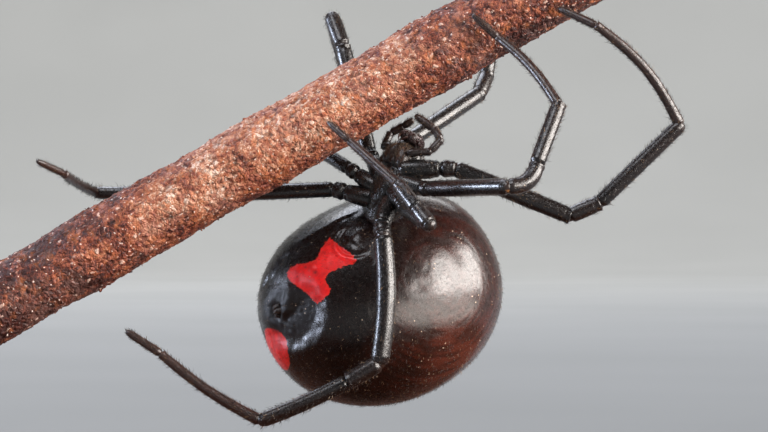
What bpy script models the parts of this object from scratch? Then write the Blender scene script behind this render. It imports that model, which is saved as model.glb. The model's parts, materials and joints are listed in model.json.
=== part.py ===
"""A black widow spider hanging under a cut twig, as a life-size display model on a small stand.

Places are given the way the view shows them: to the right, up, and near (towards the viewer),
in millimetres from the middle of the view. The world has +X to the right, +Z up and the viewer
at -Y, with the origin under the middle of the stand's base. The last step sets metres.
"""
import math

import bmesh
import bpy
from mathutils import Matrix, Vector

MM = 0.001

# Where the middle of the view stands over the base
VIEW_X = 2.6
VIEW_Y = 1.5
VIEW_Z = 13.64

# Space left between pieces that touch
GAP = 0.1

# Abdomen: half sizes of the egg, its middle, and the tilt of its long side
ABDOMEN_LONG = 5.64
ABDOMEN_SHORT = 4.78
ABDOMEN_DEEP = 4.8
ABDOMEN_MIDDLE = (-0.12, -3.75, 0.0)
ABDOMEN_TILT = 20.0
# Soft swellings and hollows of the abdomen: turn in the view plane, lean towards the viewer,
# height, spread in degrees
ABDOMEN_SWELLS = ((170, 0, 0.12, 24), (118, 0, -0.14, 18), (55, 0, 0.16, 13), (20, 0, -0.08, 16),
                  (-154, 0, -0.09, 12))
# The hourglass on the abdomen's underside and the spot behind the spinnerets
HOURGLASS = ((-2.43, -0.96), (-1.37, -1.73), (-1.21, -2.04), (-2.39, -2.48), (-2.61, -2.92),
             (-2.35, -3.28), (-3.10, -3.88), (-4.38, -2.70), (-4.21, -2.26), (-3.19, -2.04),
             (-2.83, -1.46))
SPOT_WAY = (-0.88, -0.42, 0.25)
SPOT_HALF = (1.3, 1.05)
MARK_DEPTH = 0.55
MARK_CLEARANCE = 0.08
SPINNERET_WAY = (-0.89, -0.10, 0.45)
SPINNERET_RING = 0.55

# Head and chest piece: half sizes of the shield and of the head in front of it
CHEST_MIDDLE = (0.15, 1.38, 3.6)
CHEST_FORWARD = (0.475, 0.876, -0.08)
CHEST_LEFT = (0.56, -0.231, 0.795)
SHIELD_LONG = 1.8
SHIELD_WIDE = 1.58
SHIELD_HIGH = 0.72
HEAD_LONG = 1.0
HEAD_WIDE = 0.78
HEAD_HIGH = 0.66
PEDICEL_WIDTH = 0.7

# Legs, front pair 1 to back pair 4: the lengths and the thicknesses of their segments, which are
# coxa, trochanter, femur, patella, tibia, metatarsus and tarsus
LENGTHS = {
    1: (1.50, 0.65, 5.45, 1.45, 4.90, 5.75, 1.95),
    2: (1.10, 0.50, 5.35, 1.75, 3.10, 4.60, 1.50),
    3: (1.00, 0.50, 3.60, 1.10, 1.80, 3.30, 1.35),
    4: (1.25, 0.60, 5.60, 1.60, 4.30, 5.30, 1.80),
}
THICKNESS = {
    1: (0.94, 0.80, 0.78, 0.76, 0.68, 0.50, 0.40),
    2: (0.86, 0.76, 0.75, 0.76, 0.69, 0.50, 0.40),
    3: (0.84, 0.72, 0.72, 0.70, 0.64, 0.50, 0.38),
    4: (0.92, 0.82, 0.86, 0.80, 0.72, 0.50, 0.40),
}
# Where each pair leaves the chest: forward of its middle, and out to the side
ROOTS = {1: (0.95, 0.72), 2: (0.35, 0.88), 3: (-0.25, 0.88), 4: (-0.85, 0.74)}

# How each segment points: turned from the right towards the viewer, and raised, in degrees
POSE = {
    ("left", 1): ((4.5, 1.5), (5, 1), (4.5, -22.5), (3.5, 23.5), (2, 44), (170, 49), (-153, 24.5)),
    ("left", 2): ((33.5, -14.5), (50, -1), (53, 0.5), (-28.5, 33), (-53.5, 56.5),
                  (-137.5, 41.5), (-173, 41.5)),
    ("left", 3): ((67, -29), (82.5, -14), (73, -11.5), (-130, 39.5), (-121.5, 34.5), (-144, 36),
                  (-150, 37.5)),
    ("left", 4): ((108.5, -45), (80, -43.5), (110, -85), (-172.5, -31), (-170, -24),
                  (-174, 33.5), (-178.5, 33)),
    ("right", 1): ((-56.5, 30.5), (-54.5, 30), (-51, 23.5), (-70, 38.5), (-47, 77), (55, 12.5),
                   (30, 6)),
    ("right", 2): ((-112, 36), (-112, 36), (-124, 66), (-118, 52.5), (-70.5, -50.5),
                   (94.5, -34.5), (166, 28)),
    ("right", 3): ((-148.5, 30.5), (-150, 30.5), (-132, 23.5), (-132, 16.5), (-141, -2.5),
                   (134, -22), (113, -15.5)),
    ("right", 4): ((-148, 12), (-151.5, 12.5), (-162.5, -2), (-159.5, 1), (-163.5, 0.5),
                   (100.5, 8.5), (129.5, 18)),
}
# How far a segment bows at its middle, and the way it bows where that is not outwards, away
# from the chest
BOWS = {("left", 1, 5): 0.42, ("left", 2, 3): 0.34, ("left", 2, 5): 0.22, ("left", 4, 2): 0.22,
        ("left", 4, 4): 0.08, ("left", 4, 5): 0.18, ("right", 1, 5): 0.3, ("right", 2, 5): 0.2,
        ("right", 4, 5): 0.15}
BOW_WAYS = {("left", 2, 3): (0.6, -0.8, 0.0), ("left", 4, 2): (1.0, 0.0, 0.0)}
SLIMNESS = {("right", 4): 0.84, ("right", 3): 0.9}

# Palps: their joints after the first, chest first, and the thickness of each segment
PALP_JOINTS = {
    "left": ((2.04, 2.84, 4.25), (2.52, 3.36, 4.15), (2.2, 3.88, 3.9), (1.4, 4.46, 3.6)),
    "right": ((0.0, 3.12, 2.4), (0.3, 3.72, 2.15), (0.88, 4.02, 2.35), (1.3, 4.3, 2.7)),
}
PALP_THICKNESS = (0.38, 0.38, 0.37, 0.37)

# Twig: a point on its axis, the slope of the axis, the thickness and where the cuts are
TWIG_POINT = (-17.1, -3.87, 3.0)
TWIG_SLOPE = 29.8
TWIG_THICKNESS = 3.34
TWIG_START = -4.5
TWIG_LENGTH = 40.0

# Stand
BASE_SIZE = (40.0, 19.0, 3.0)
BASE_CORNER = 4.0
BASE_EDGE = 0.5
ROD_WIDTH = 2.2
ROD_RIGHT = -18.6

LEG_SIDES_STEP = 3


def aim(turn, rise):
    """A direction in the view: right, up, near."""
    t, r = math.radians(turn), math.radians(rise)
    return Vector((math.cos(r) * math.cos(t), math.sin(r), math.cos(r) * math.sin(t)))


def world(point):
    """A place in the view as a place over the base, still in millimetres."""
    right, up, near = point
    return Vector((right + VIEW_X, VIEW_Y - near, up + VIEW_Z))


# The chest's own directions, in the view
FORWARD = Vector(CHEST_FORWARD).normalized()
LEFT = Vector(CHEST_LEFT)
LEFT = (LEFT - FORWARD * LEFT.dot(FORWARD)).normalized()
UNDER = LEFT.cross(FORWARD)


def on_chest(forward, left, under):
    """A place in the view, measured from the middle of the chest."""
    return Vector(CHEST_MIDDLE) + FORWARD * forward + LEFT * left + UNDER * under


def clear_scene():
    for obj in list(bpy.data.objects):
        bpy.data.objects.remove(obj, do_unlink=True)


def new_collection(name):
    collection = bpy.data.collections.new(name)
    bpy.context.scene.collection.children.link(collection)
    return collection


def new_material(name, colour, roughness, metallic=0.0):
    """A plain finish, from an sRGB colour."""
    material = bpy.data.materials.new(name)
    material.use_nodes = True
    linear = []
    for pair in (colour[0:2], colour[2:4], colour[4:6]):
        value = int(pair, 16) / 255.0
        linear.append(value / 12.92 if value <= 0.04045 else ((value + 0.055) / 1.055) ** 2.4)
    shader = material.node_tree.nodes["Principled BSDF"]
    shader.inputs["Base Color"].default_value = (*linear, 1.0)
    shader.inputs["Roughness"].default_value = roughness
    shader.inputs["Metallic"].default_value = metallic
    material.diffuse_color = (*linear, 1.0)
    return material


clear_scene()
PARTS = new_collection("black_widow_spider")
CUTTERS = new_collection("cutters")

CUTICLE = new_material("glossy_black_cuticle", "0b0808", 0.2)
ABDOMEN_SKIN = new_material("satin_maroon_black_skin", "1f0c0a", 0.28)
RED_MARK = new_material("hourglass_red", "c4120e", 0.35)
BROWN_CUTICLE = new_material("brown_mouthparts", "2b1711", 0.4)
BARK = new_material("reddish_bark", "6b3a2a", 0.85)
WOOD = new_material("cherry_stained_base", "8a5640", 0.5)
STEEL = new_material("brushed_steel_rod", "b8b8b6", 0.35, 1.0)


def from_bmesh(name, shape, collection=PARTS):
    """An object from a closed shape, with its faces turned outwards."""
    shape.normal_update()
    bmesh.ops.recalc_face_normals(shape, faces=shape.faces)
    if shape.calc_volume(signed=True) < 0.0:
        bmesh.ops.reverse_faces(shape, faces=shape.faces)
    mesh = bpy.data.meshes.new(name)
    shape.to_mesh(mesh)
    shape.free()
    obj = bpy.data.objects.new(name, mesh)
    collection.objects.link(obj)
    return obj


def remove_object(obj):
    data = obj.data
    bpy.data.objects.remove(obj, do_unlink=True)
    if data.users == 0:
        if isinstance(data, bpy.types.Mesh):
            bpy.data.meshes.remove(data)
        else:
            bpy.data.curves.remove(data)


def evaluated_copy(obj, name):
    """A plain mesh object from the evaluated one, welded, with the first one removed."""
    bpy.context.view_layer.update()
    graph = bpy.context.evaluated_depsgraph_get()
    mesh = bpy.data.meshes.new_from_object(obj.evaluated_get(graph))
    shape = bmesh.new()
    shape.from_mesh(mesh)
    shape.transform(obj.matrix_world)
    bpy.data.meshes.remove(mesh)
    bmesh.ops.remove_doubles(shape, verts=shape.verts, dist=0.001)
    remove_object(obj)
    return from_bmesh(name, shape)


def tube(name, points, thicknesses, sides_step=LEG_SIDES_STEP):
    """A round limb along points in the view, as a bevelled curve turned into a mesh."""
    curve = bpy.data.curves.new(name, "CURVE")
    curve.dimensions = "3D"
    curve.bevel_depth = 1.0
    curve.bevel_resolution = sides_step
    curve.use_fill_caps = True
    spline = curve.splines.new("POLY")
    spline.points.add(len(points) - 1)
    for spot, point, thickness in zip(spline.points, points, thicknesses):
        spot.co = (*world(point), 1.0)
        spot.radius = thickness / 2
    obj = bpy.data.objects.new(name, curve)
    PARTS.objects.link(obj)
    return evaluated_copy(obj, name)


def ball(name, middle, half, axes, rings=12, sides=18, shape=None):
    """An egg round a place in the view, its half sizes along three directions of the view."""
    mesh = bmesh.new()
    bmesh.ops.create_uvsphere(mesh, u_segments=sides, v_segments=rings, radius=1.0)
    for vertex in mesh.verts:
        along = Vector((vertex.co.z, vertex.co.x, vertex.co.y))
        if shape is not None:
            along = shape(along)
        place = Vector(middle)
        for share, size, axis in zip(along, half, axes):
            place += axis * (share * size)
        vertex.co = world(place)
    return from_bmesh(name, mesh)


def volume_of(obj):
    shape = bmesh.new()
    shape.from_mesh(obj.data)
    volume = shape.calc_volume(signed=True)
    shape.free()
    return volume


def boolean_result(first, second, operation, solver):
    modifier = first.modifiers.new(operation.lower(), "BOOLEAN")
    modifier.object = second
    modifier.operation = operation
    modifier.solver = solver
    bpy.context.view_layer.update()
    graph = bpy.context.evaluated_depsgraph_get()
    mesh = bpy.data.meshes.new_from_object(first.evaluated_get(graph))
    first.modifiers.remove(modifier)
    shape = bmesh.new()
    shape.from_mesh(mesh)
    bpy.data.meshes.remove(mesh)
    bmesh.ops.remove_doubles(shape, verts=shape.verts, dist=0.0005)
    return from_bmesh(first.name + "_made", shape)


def combine(first, second, operation):
    """A Boolean of two objects, which it uses up. The manifold solver stands in where the exact
    one loses the body."""
    own, other = volume_of(first), volume_of(second)
    least = max(own, other) * 0.98 if operation == "UNION" else (own - other) * 0.98
    result = boolean_result(first, second, operation, "EXACT")
    if volume_of(result) < max(least, 1e-6):
        remove_object(result)
        result = boolean_result(first, second, operation, "MANIFOLD")
    name = first.name
    remove_object(first)
    remove_object(second)
    result.name = name
    result.data.name = name
    return result


def largest_shell(obj):
    """Keeps the largest closed surface of a mesh and clears slivers."""
    shape = bmesh.new()
    shape.from_mesh(obj.data)
    bmesh.ops.dissolve_degenerate(shape, edges=shape.edges, dist=0.002)
    bmesh.ops.triangulate(shape, faces=shape.faces)
    left = set(shape.verts)
    groups = []
    while left:
        start = left.pop()
        group = {start}
        front = [start]
        while front:
            vertex = front.pop()
            for edge in vertex.link_edges:
                other = edge.other_vert(vertex)
                if other in left:
                    left.discard(other)
                    group.add(other)
                    front.append(other)
        groups.append(group)
    groups.sort(key=len, reverse=True)
    for group in groups[1:]:
        bmesh.ops.delete(shape, geom=list(group), context="VERTS")
    shape.to_mesh(obj.data)
    shape.free()


def fuse(name, pieces):
    """All pieces joined into one closed body."""
    result = pieces[0]
    for piece in pieces[1:]:
        result = combine(result, piece, "UNION")
    largest_shell(result)
    result.name = name
    result.data.name = name
    return result


def finish(obj, material, sharp=50.0):
    obj.data.materials.clear()
    obj.data.materials.append(material)
    obj.data.shade_smooth()
    obj.data.set_sharp_from_angle(angle=math.radians(sharp))


def swell(share, first, middle, last):
    """The thickness of a segment along its length: a soft bulge between its ends."""
    bulge = math.sin(math.pi * min(max(share, 0.0), 1.0)) ** 0.7
    ends = first + (last - first) * share
    return ends + (middle - ends) * bulge


def leg_joints(side, pair):
    """The eight joints of a leg, chest first, in the view."""
    forward, out = ROOTS[pair]
    joints = [on_chest(forward, out if side == "left" else -out, 0.0)]
    for length, (turn, rise) in zip(LENGTHS[pair], POSE[(side, pair)]):
        joints.append(joints[-1] + aim(turn, rise) * length)
    return joints


def bow_of(side, pair, index, start, end):
    """How a segment bows at its middle, as a step in the view."""
    way = (end - start).normalized()
    outwards = (start + end) / 2 - Vector(CHEST_MIDDLE)
    away = Vector(BOW_WAYS.get((side, pair, index), outwards))
    away = (away - way * away.dot(way)).normalized()
    return away * BOWS.get((side, pair, index), 0.0)


def limb(name, joints, widths, start, end, bows=(), rings=5, sides_step=LEG_SIDES_STEP):
    """One closed limb through joints, swelling along each segment. start is how far past the
    first joint it begins; end is the width it ends with, round when the limb ends in a joint
    that bends, or None for a flat end that meets a straight neighbour."""
    points, sizes = [], []
    count = len(joints) - 1
    for index in range(count):
        a, b = Vector(joints[index]), Vector(joints[index + 1])
        way = (b - a).normalized()
        width = widths[index]
        bow = bows[index] if index < len(bows) else Vector((0.0, 0.0, 0.0))
        last = index == count - 1
        if index == 0:
            a = a + way * start
            points += [a, a + way * 0.07]
            sizes += [width * 0.76, width * 0.93]
        if last and end is None:
            b = b - way * GAP / 2
        for step in range(1, rings + 1):
            share = step / rings
            if share > 0.93 and not last:
                continue
            reach = share * (0.97 if last else 0.88)
            points.append(a.lerp(b, reach) + bow * math.sin(math.pi * reach))
            if not last:
                after = widths[index + 1] * 0.94
            else:
                after = width * 0.9 if end is None else end
            sizes.append(swell(share, width * 0.94, width, after))
    way = (Vector(joints[-1]) - Vector(joints[-2])).normalized()
    if end is None:
        points.append(b)
        sizes.append(widths[-1] * 0.8)
    else:
        for past, size in ((0.0, 1.0), (0.32, 0.8), (0.47, 0.4)):
            points.append(Vector(joints[-1]) + way * end * past)
            sizes.append(end * size)
    return tube(name, points, sizes, sides_step)


def chest_piece():
    """Shield, head, breast plate, mouth plates, the leg bases and the waist, as one body."""
    axes = (FORWARD, LEFT, UNDER)

    def shield_form(along):
        narrow = 1.0 - 0.16 * max(along.x, 0.0)
        return Vector((along.x, along.y * narrow, along.z if along.z < 0 else along.z * 0.75))

    shield = ball("cephalothorax", on_chest(0.0, 0.0, -0.28),
                  (SHIELD_LONG, SHIELD_WIDE, SHIELD_HIGH), axes, 12, 24, shield_form)
    pieces = [shield]
    pieces.append(ball("head", on_chest(1.2, 0.0, -0.3), (HEAD_LONG, HEAD_WIDE, HEAD_HIGH), axes, 10, 16))

    def plate_form(along):
        taper = 1.0 - 0.35 * max(-along.x, 0.0) - 0.05 * along.x
        return Vector((along.x, along.y * taper, along.z))

    pieces.append(ball("breast_plate", on_chest(-0.1, 0.0, 0.2), (1.0, 0.72, 0.3), axes, 8, 16, plate_form))
    pieces.append(ball("labium", on_chest(1.08, 0.0, 0.3), (0.3, 0.28, 0.22), axes, 6, 10))
    for side in (1, -1):
        inward = (FORWARD * 0.93 - LEFT * side * 0.36).normalized()
        across = inward.cross(UNDER).normalized()
        pieces.append(ball("endite", on_chest(1.34, side * 0.42, 0.26), (0.6, 0.3, 0.3),
                           (inward, across, UNDER), 8, 12))
    for side in ("left", "right"):
        for pair in (1, 2, 3, 4):
            joints = leg_joints(side, pair)
            wide = THICKNESS[pair]
            slim = SLIMNESS.get((side, pair), 1.0)
            inner = joints[0] - (joints[1] - joints[0]).normalized() * 0.35
            a, b, c = inner, joints[1], joints[2]
            points = [a, a.lerp(b, 0.3), a.lerp(b, 0.62), a.lerp(b, 0.86), a.lerp(b, 0.97)]
            sizes = [wide[0] * 0.8, wide[0] * 0.96, wide[0] * 1.0, wide[0] * 0.92, wide[0] * 0.78]
            points += [b.lerp(c, 0.3), b.lerp(c, 0.8), c]
            sizes += [wide[1] * slim, wide[1] * slim, wide[1] * 0.84 * slim]
            pieces.append(tube("base_%s_%d" % (side, pair), points, sizes))
    waist_end = Vector(ABDOMEN_MIDDLE) + Vector((-0.16, 3.68, 3.28))
    pieces.append(tube("waist", [on_chest(-0.9, 0.0, 0.0), on_chest(-1.35, 0.0, 0.05), waist_end],
                       [PEDICEL_WIDTH, PEDICEL_WIDTH, PEDICEL_WIDTH * 0.9], 4))
    for forward, out, dorsal, size in ((2.08, 0.16, 0.52, 0.17), (1.86, 0.2, 0.78, 0.17),
                                       (1.98, 0.44, 0.5, 0.16), (1.8, 0.5, 0.66, 0.16)):
        for side in (1, -1):
            spot = on_chest(forward, out * side, -dorsal)
            pieces.append(ball("eye", spot, (size / 2,) * 3, axes, 6, 8))
    chest = fuse("cephalothorax", pieces)
    room = abdomen_egg("room_for_abdomen", -GAP, collection=CUTTERS)
    chest = combine(chest, room, "DIFFERENCE")
    largest_shell(chest)
    return chest


def mouthparts(side):
    """A jaw with its fang, on one side."""
    sign = 1 if side == "left" else -1
    points = [on_chest(2.06, 0.25 * sign, -0.42), on_chest(2.3, 0.28 * sign, -0.22),
              on_chest(2.37, 0.29 * sign, 0.06), on_chest(2.3, 0.26 * sign, 0.36),
              on_chest(2.18, 0.2 * sign, 0.56)]
    return tube("chelicera_" + side, points, [0.34, 0.5, 0.5, 0.38, 0.16])


def palp(side):
    first = on_chest(1.62, 0.74, 0.42) if side == "left" else on_chest(1.62, -0.76, 0.3)
    joints = [first] + [Vector(joint) for joint in PALP_JOINTS[side]]
    return limb("pedipalp_" + side, joints, PALP_THICKNESS, 0.0, 0.27, (), 3)


def abdomen_axes():
    tilt = math.radians(ABDOMEN_TILT)
    long_way = Vector((math.cos(tilt), math.sin(tilt), 0.0))
    short_way = Vector((-math.sin(tilt), math.cos(tilt), 0.0))
    return long_way, short_way, Vector((0.0, 0.0, 1.0))


def abdomen_point(way, less=0.0):
    """The place on the abdomen's skin in a direction of the view from its middle."""
    way = Vector(way).normalized()
    half = (ABDOMEN_LONG - less, ABDOMEN_SHORT - less, ABDOMEN_DEEP - less)
    share = math.sqrt(sum((way.dot(axis) / size) ** 2 for axis, size in zip(abdomen_axes(), half)))
    reach = 1.0 / share
    for turn, lean, height, spread in ABDOMEN_SWELLS:
        t, n = math.radians(turn), math.radians(lean)
        top = Vector((math.cos(t) * math.cos(n), math.sin(t) * math.cos(n), math.sin(n)))
        reach += height * math.exp(-0.5 * (math.degrees(way.angle(top)) / spread) ** 2)
    return Vector(ABDOMEN_MIDDLE) + way * reach


def abdomen_egg(name, less=0.0, rings=26, sides=40, collection=PARTS):
    """The abdomen, or one smaller or larger all round by a margin."""
    mesh = bmesh.new()
    bmesh.ops.create_uvsphere(mesh, u_segments=sides, v_segments=rings, radius=1.0)
    long_way, short_way, deep_way = abdomen_axes()
    for vertex in mesh.verts:
        way = (long_way * vertex.co.z * ABDOMEN_LONG + short_way * vertex.co.x * ABDOMEN_SHORT
               + deep_way * vertex.co.y * ABDOMEN_DEEP)
        vertex.co = world(abdomen_point(way, less))
    return from_bmesh(name, mesh, collection)


def prism(name, outline, middle, way, across, rise, low, high, grow=0.0):
    """An outline round a middle, pushed along a direction, its edge moved out by a clearance."""
    way = Vector(way).normalized()
    mesh = bmesh.new()
    near, far = [], []
    area = sum(outline[i - 1][0] * p[1] - p[0] * outline[i - 1][1] for i, p in enumerate(outline))
    turn = 1 if area > 0 else -1
    for index, (u, v) in enumerate(outline):
        before = Vector(outline[index - 1])
        after = Vector(outline[(index + 1) % len(outline)])
        here = Vector((u, v))
        one, two = (here - before).normalized(), (after - here).normalized()
        side = Vector((one.y + two.y, -one.x - two.x)).normalized() * turn
        here = here + side * grow / max(0.4, side.dot(Vector((one.y, -one.x)) * turn))
        place = Vector(middle) + Vector(across) * here.x + Vector(rise) * here.y
        near.append(mesh.verts.new(world(place + way * low)))
        far.append(mesh.verts.new(world(place + way * high)))
    mesh.faces.new(near)
    mesh.faces.new(list(reversed(far)))
    for index in range(len(outline)):
        nxt = (index + 1) % len(outline)
        mesh.faces.new((near[index], far[index], far[nxt], near[nxt]))
    bmesh.ops.triangulate(mesh, faces=[f for f in mesh.faces if len(f.verts) > 4])
    return from_bmesh(name, mesh, CUTTERS)


def mark_cutter(kind, grow):
    """The hourglass is drawn as the view shows it, the spot round its own middle."""
    if kind == "hourglass":
        return prism("cut", HOURGLASS, (0, 0, 0), (0, 0, 1), (1, 0, 0), (0, 1, 0), 0.5, 6.0, grow)
    way = Vector(SPOT_WAY).normalized()
    middle = abdomen_point(way)
    across = Vector((0, 0, 1)) - way * way.z
    across.normalize()
    rise = way.cross(across)
    outline = []
    for step in range(16):
        angle = math.tau * step / 16
        outline.append((SPOT_HALF[0] * math.cos(angle), SPOT_HALF[1] * math.sin(angle)))
    return prism("cut", outline, middle, way, across, rise, -1.6, 1.2, grow)


def build_abdomen():
    """The abdomen with its two red marks let into it flush, and the spinnerets in their pit."""
    abdomen = abdomen_egg("abdomen")
    marks = []
    for kind, name in (("hourglass", "abdomen_hourglass"), ("spot", "abdomen_tail_spot")):
        mark = combine(abdomen_egg(name), mark_cutter(kind, 0.0), "INTERSECT")
        mark = combine(mark, abdomen_egg("core", MARK_DEPTH, collection=CUTTERS), "DIFFERENCE")
        largest_shell(mark)
        mark.name = name
        marks.append(mark)
        core = abdomen_egg("core", MARK_DEPTH + MARK_CLEARANCE, collection=CUTTERS)
        room = combine(mark_cutter(kind, MARK_CLEARANCE), core, "DIFFERENCE")
        abdomen = combine(abdomen, room, "DIFFERENCE")
        largest_shell(abdomen)
    way = Vector(SPINNERET_WAY).normalized()
    top = abdomen_point(way)
    pit = tube("pit", [top - way * 0.42, top + way * 0.6],
               [SPINNERET_RING * 2 + GAP * 2, SPINNERET_RING * 2 + GAP * 2 + 0.1], 6)
    abdomen = combine(abdomen, pit, "DIFFERENCE")
    largest_shell(abdomen)
    abdomen.name = "abdomen"
    across = way.cross(Vector((0, 0, 1))).normalized()
    rise = way.cross(across)
    pieces = [tube("spinnerets", [top - way * (0.42 - GAP), top - way * 0.1, top - way * 0.02],
                   [SPINNERET_RING * 2 - 0.06, SPINNERET_RING * 2 - 0.02, SPINNERET_RING * 1.7], 6)]
    for count, ring, width, length in ((4, 0.27, 0.3, 0.34), (2, 0.1, 0.2, 0.24)):
        for index in range(count):
            angle = math.tau * (index + 0.5) / count
            spot = top + across * ring * math.cos(angle) + rise * ring * math.sin(angle)
            lean = (way - (spot - top) * 0.35).normalized()
            path = [spot - way * 0.16, spot + lean * length * 0.6, spot + lean * length]
            pieces.append(tube("cone", path, [width, width * 0.8, width * 0.35], 2))
    return abdomen, marks, fuse("spinnerets", pieces)


def build_leg(side, pair):
    """Femur, patella with tibia, and metatarsus with tarsus, each its own piece."""
    joints = leg_joints(side, pair)
    wide = [w * SLIMNESS.get((side, pair), 1.0) for w in THICKNESS[pair]]
    bows = [bow_of(side, pair, index, joints[index], joints[index + 1]) for index in range(7)]
    label = "leg_%s_%d_" % (side, pair)
    ways = [(joints[i + 1] - joints[i]).normalized() for i in range(7)]

    def bend(index):
        return math.degrees(ways[index - 1].angle(ways[index]))

    lean = math.tan(math.radians(bend(2) / 2)) * wide[2] * 0.3
    knee, ankle = wide[2] * 0.84, wide[4] * 0.86
    folded = bend(3) > 100
    straight = bend(3) < 30
    far = None if straight else knee
    femur = limb(label + "femur", joints[2:4], [wide[2]], GAP + lean, far, bows[2:3])
    upright = bend(5) < 30
    end = None if upright else ankle
    if folded:
        # a knee folded this far keeps its patella on the femur, and the tibia starts after it
        patella = limb(label + "patella", joints[3:5], [wide[3]], -0.12, None)
        femur = fuse(label + "femur", [femur, patella])
        tibia = limb(label + "tibia", joints[4:6], [wide[4]], GAP / 2, end, bows[4:5])
    else:
        clear = GAP / 2 if straight else knee / 2 + GAP
        tibia = limb(label + "tibia", joints[3:6], [wide[3], wide[4]], clear, end, bows[3:5])
    clear = GAP / 2 if upright else ankle / 2 + GAP
    tarsus = limb(label + "tarsus", joints[5:8], [wide[5], wide[6]], clear, 0.16, bows[5:7])
    return [femur, tibia, tarsus]


def build_twig(name="twig_perch", grow=0.0):
    way = aim(0.0, TWIG_SLOPE)
    start = Vector(TWIG_POINT) + way * TWIG_START
    points, sizes = [], []
    steps = 44
    for step in range(steps + 1):
        share = step / steps
        knob = 0.05 * math.sin(share * 31.0) + 0.035 * math.sin(share * 57.0 + 1.2)
        points.append(start + way * TWIG_LENGTH * share)
        sizes.append(TWIG_THICKNESS * (1.0 + knob * 0.5 - 0.02) + grow * 2)
    return tube(name, points, sizes, 6)


def build_stand():
    long_side, short_side, height = BASE_SIZE
    curve = bpy.data.curves.new("stand_base", "CURVE")
    curve.dimensions = "2D"
    curve.fill_mode = "BOTH"
    curve.extrude = height / 2
    spline = curve.splines.new("POLY")
    outline = []
    for sx, sy, start in ((1, -1, -90), (1, 1, 0), (-1, 1, 90), (-1, -1, 180)):
        for step in range(7):
            angle = math.radians(start + 15 * step)
            outline.append((sx * (long_side / 2 - BASE_CORNER) + BASE_CORNER * math.cos(angle),
                            sy * (short_side / 2 - BASE_CORNER) + BASE_CORNER * math.sin(angle)))
    spline.points.add(len(outline) - 1)
    for spot, (x, y) in zip(spline.points, outline):
        spot.co = (x, y, 0.0, 1.0)
    spline.use_cyclic_u = True
    plain = bpy.data.objects.new("stand_base", curve)
    PARTS.objects.link(plain)
    plain.location.z = height / 2
    base = evaluated_copy(plain, "stand_base")
    bevel = base.modifiers.new("soft_edge", "BEVEL")
    bevel.width = BASE_EDGE
    bevel.segments = 2
    bevel.limit_method = "ANGLE"
    bevel.angle_limit = math.radians(50)
    base = evaluated_copy(base, "stand_base_soft")
    base.name = "stand_base"
    base.data.name = "stand_base"

    slope = math.tan(math.radians(TWIG_SLOPE))
    axis_up = TWIG_POINT[1] + (ROD_RIGHT - TWIG_POINT[0]) * slope
    bottom = height + GAP - VIEW_Z
    rod = tube("stand_rod", [(ROD_RIGHT, bottom, TWIG_POINT[2]), (ROD_RIGHT, axis_up, TWIG_POINT[2])],
               [ROD_WIDTH, ROD_WIDTH], 6)
    rod = combine(rod, build_twig("room_for_twig", GAP), "DIFFERENCE")
    largest_shell(rod)
    return base, rod


def in_metres():
    """Every part takes its real size."""
    for obj in PARTS.objects:
        obj.data.transform(Matrix.Scale(MM, 4))
        obj.data.update()


chest = chest_piece()
finish(chest, CUTICLE)
for side in ("left", "right"):
    finish(mouthparts(side), CUTICLE)
    finish(palp(side), BROWN_CUTICLE)
    for pair in (1, 2, 3, 4):
        for piece in build_leg(side, pair):
            finish(piece, CUTICLE)

abdomen, red_marks, spinnerets = build_abdomen()
finish(abdomen, ABDOMEN_SKIN)
finish(spinnerets, CUTICLE)
for red_mark in red_marks:
    finish(red_mark, RED_MARK)
finish(build_twig(), BARK)
stand_base, stand_rod = build_stand()
finish(stand_base, WOOD, 30.0)
finish(stand_rod, STEEL)
in_metres()
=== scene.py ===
"""A life-size black widow spider under a cut twig on its display stand, dressed for the picture.

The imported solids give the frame. Places below are told the way the view shows them: right, up and
near (towards the viewer), in millimetres from the middle of the view, as in the solids' source.
placed() turns them into metres over the base. Each leg, the chest and the abdomen gets one skin,
with its hairs as thin tapered solids over it.
"""
import json
import math
from functools import partial

import bmesh
import bpy
import numpy as np
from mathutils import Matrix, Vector, noise

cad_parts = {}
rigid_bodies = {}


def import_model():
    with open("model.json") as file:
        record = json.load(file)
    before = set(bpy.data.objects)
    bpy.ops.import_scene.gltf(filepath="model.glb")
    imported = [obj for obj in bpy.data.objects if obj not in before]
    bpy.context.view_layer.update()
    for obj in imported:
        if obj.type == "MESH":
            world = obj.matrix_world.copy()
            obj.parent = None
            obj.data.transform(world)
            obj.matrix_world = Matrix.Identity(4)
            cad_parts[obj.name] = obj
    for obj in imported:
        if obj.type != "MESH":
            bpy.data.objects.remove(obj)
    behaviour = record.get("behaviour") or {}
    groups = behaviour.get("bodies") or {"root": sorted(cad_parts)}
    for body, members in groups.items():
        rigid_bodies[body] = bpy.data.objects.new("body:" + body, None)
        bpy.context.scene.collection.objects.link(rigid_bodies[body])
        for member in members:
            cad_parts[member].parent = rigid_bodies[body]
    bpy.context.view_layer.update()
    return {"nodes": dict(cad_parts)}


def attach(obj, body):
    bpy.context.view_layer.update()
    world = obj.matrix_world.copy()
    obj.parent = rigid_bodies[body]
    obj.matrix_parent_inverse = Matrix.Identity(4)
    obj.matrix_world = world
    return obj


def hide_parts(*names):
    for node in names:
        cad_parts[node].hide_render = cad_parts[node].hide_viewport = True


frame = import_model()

MM = 0.001

# Named sizes, the same as in the solids' source
VIEW_X = 2.6
VIEW_Y = 1.5
VIEW_Z = 13.64

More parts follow.
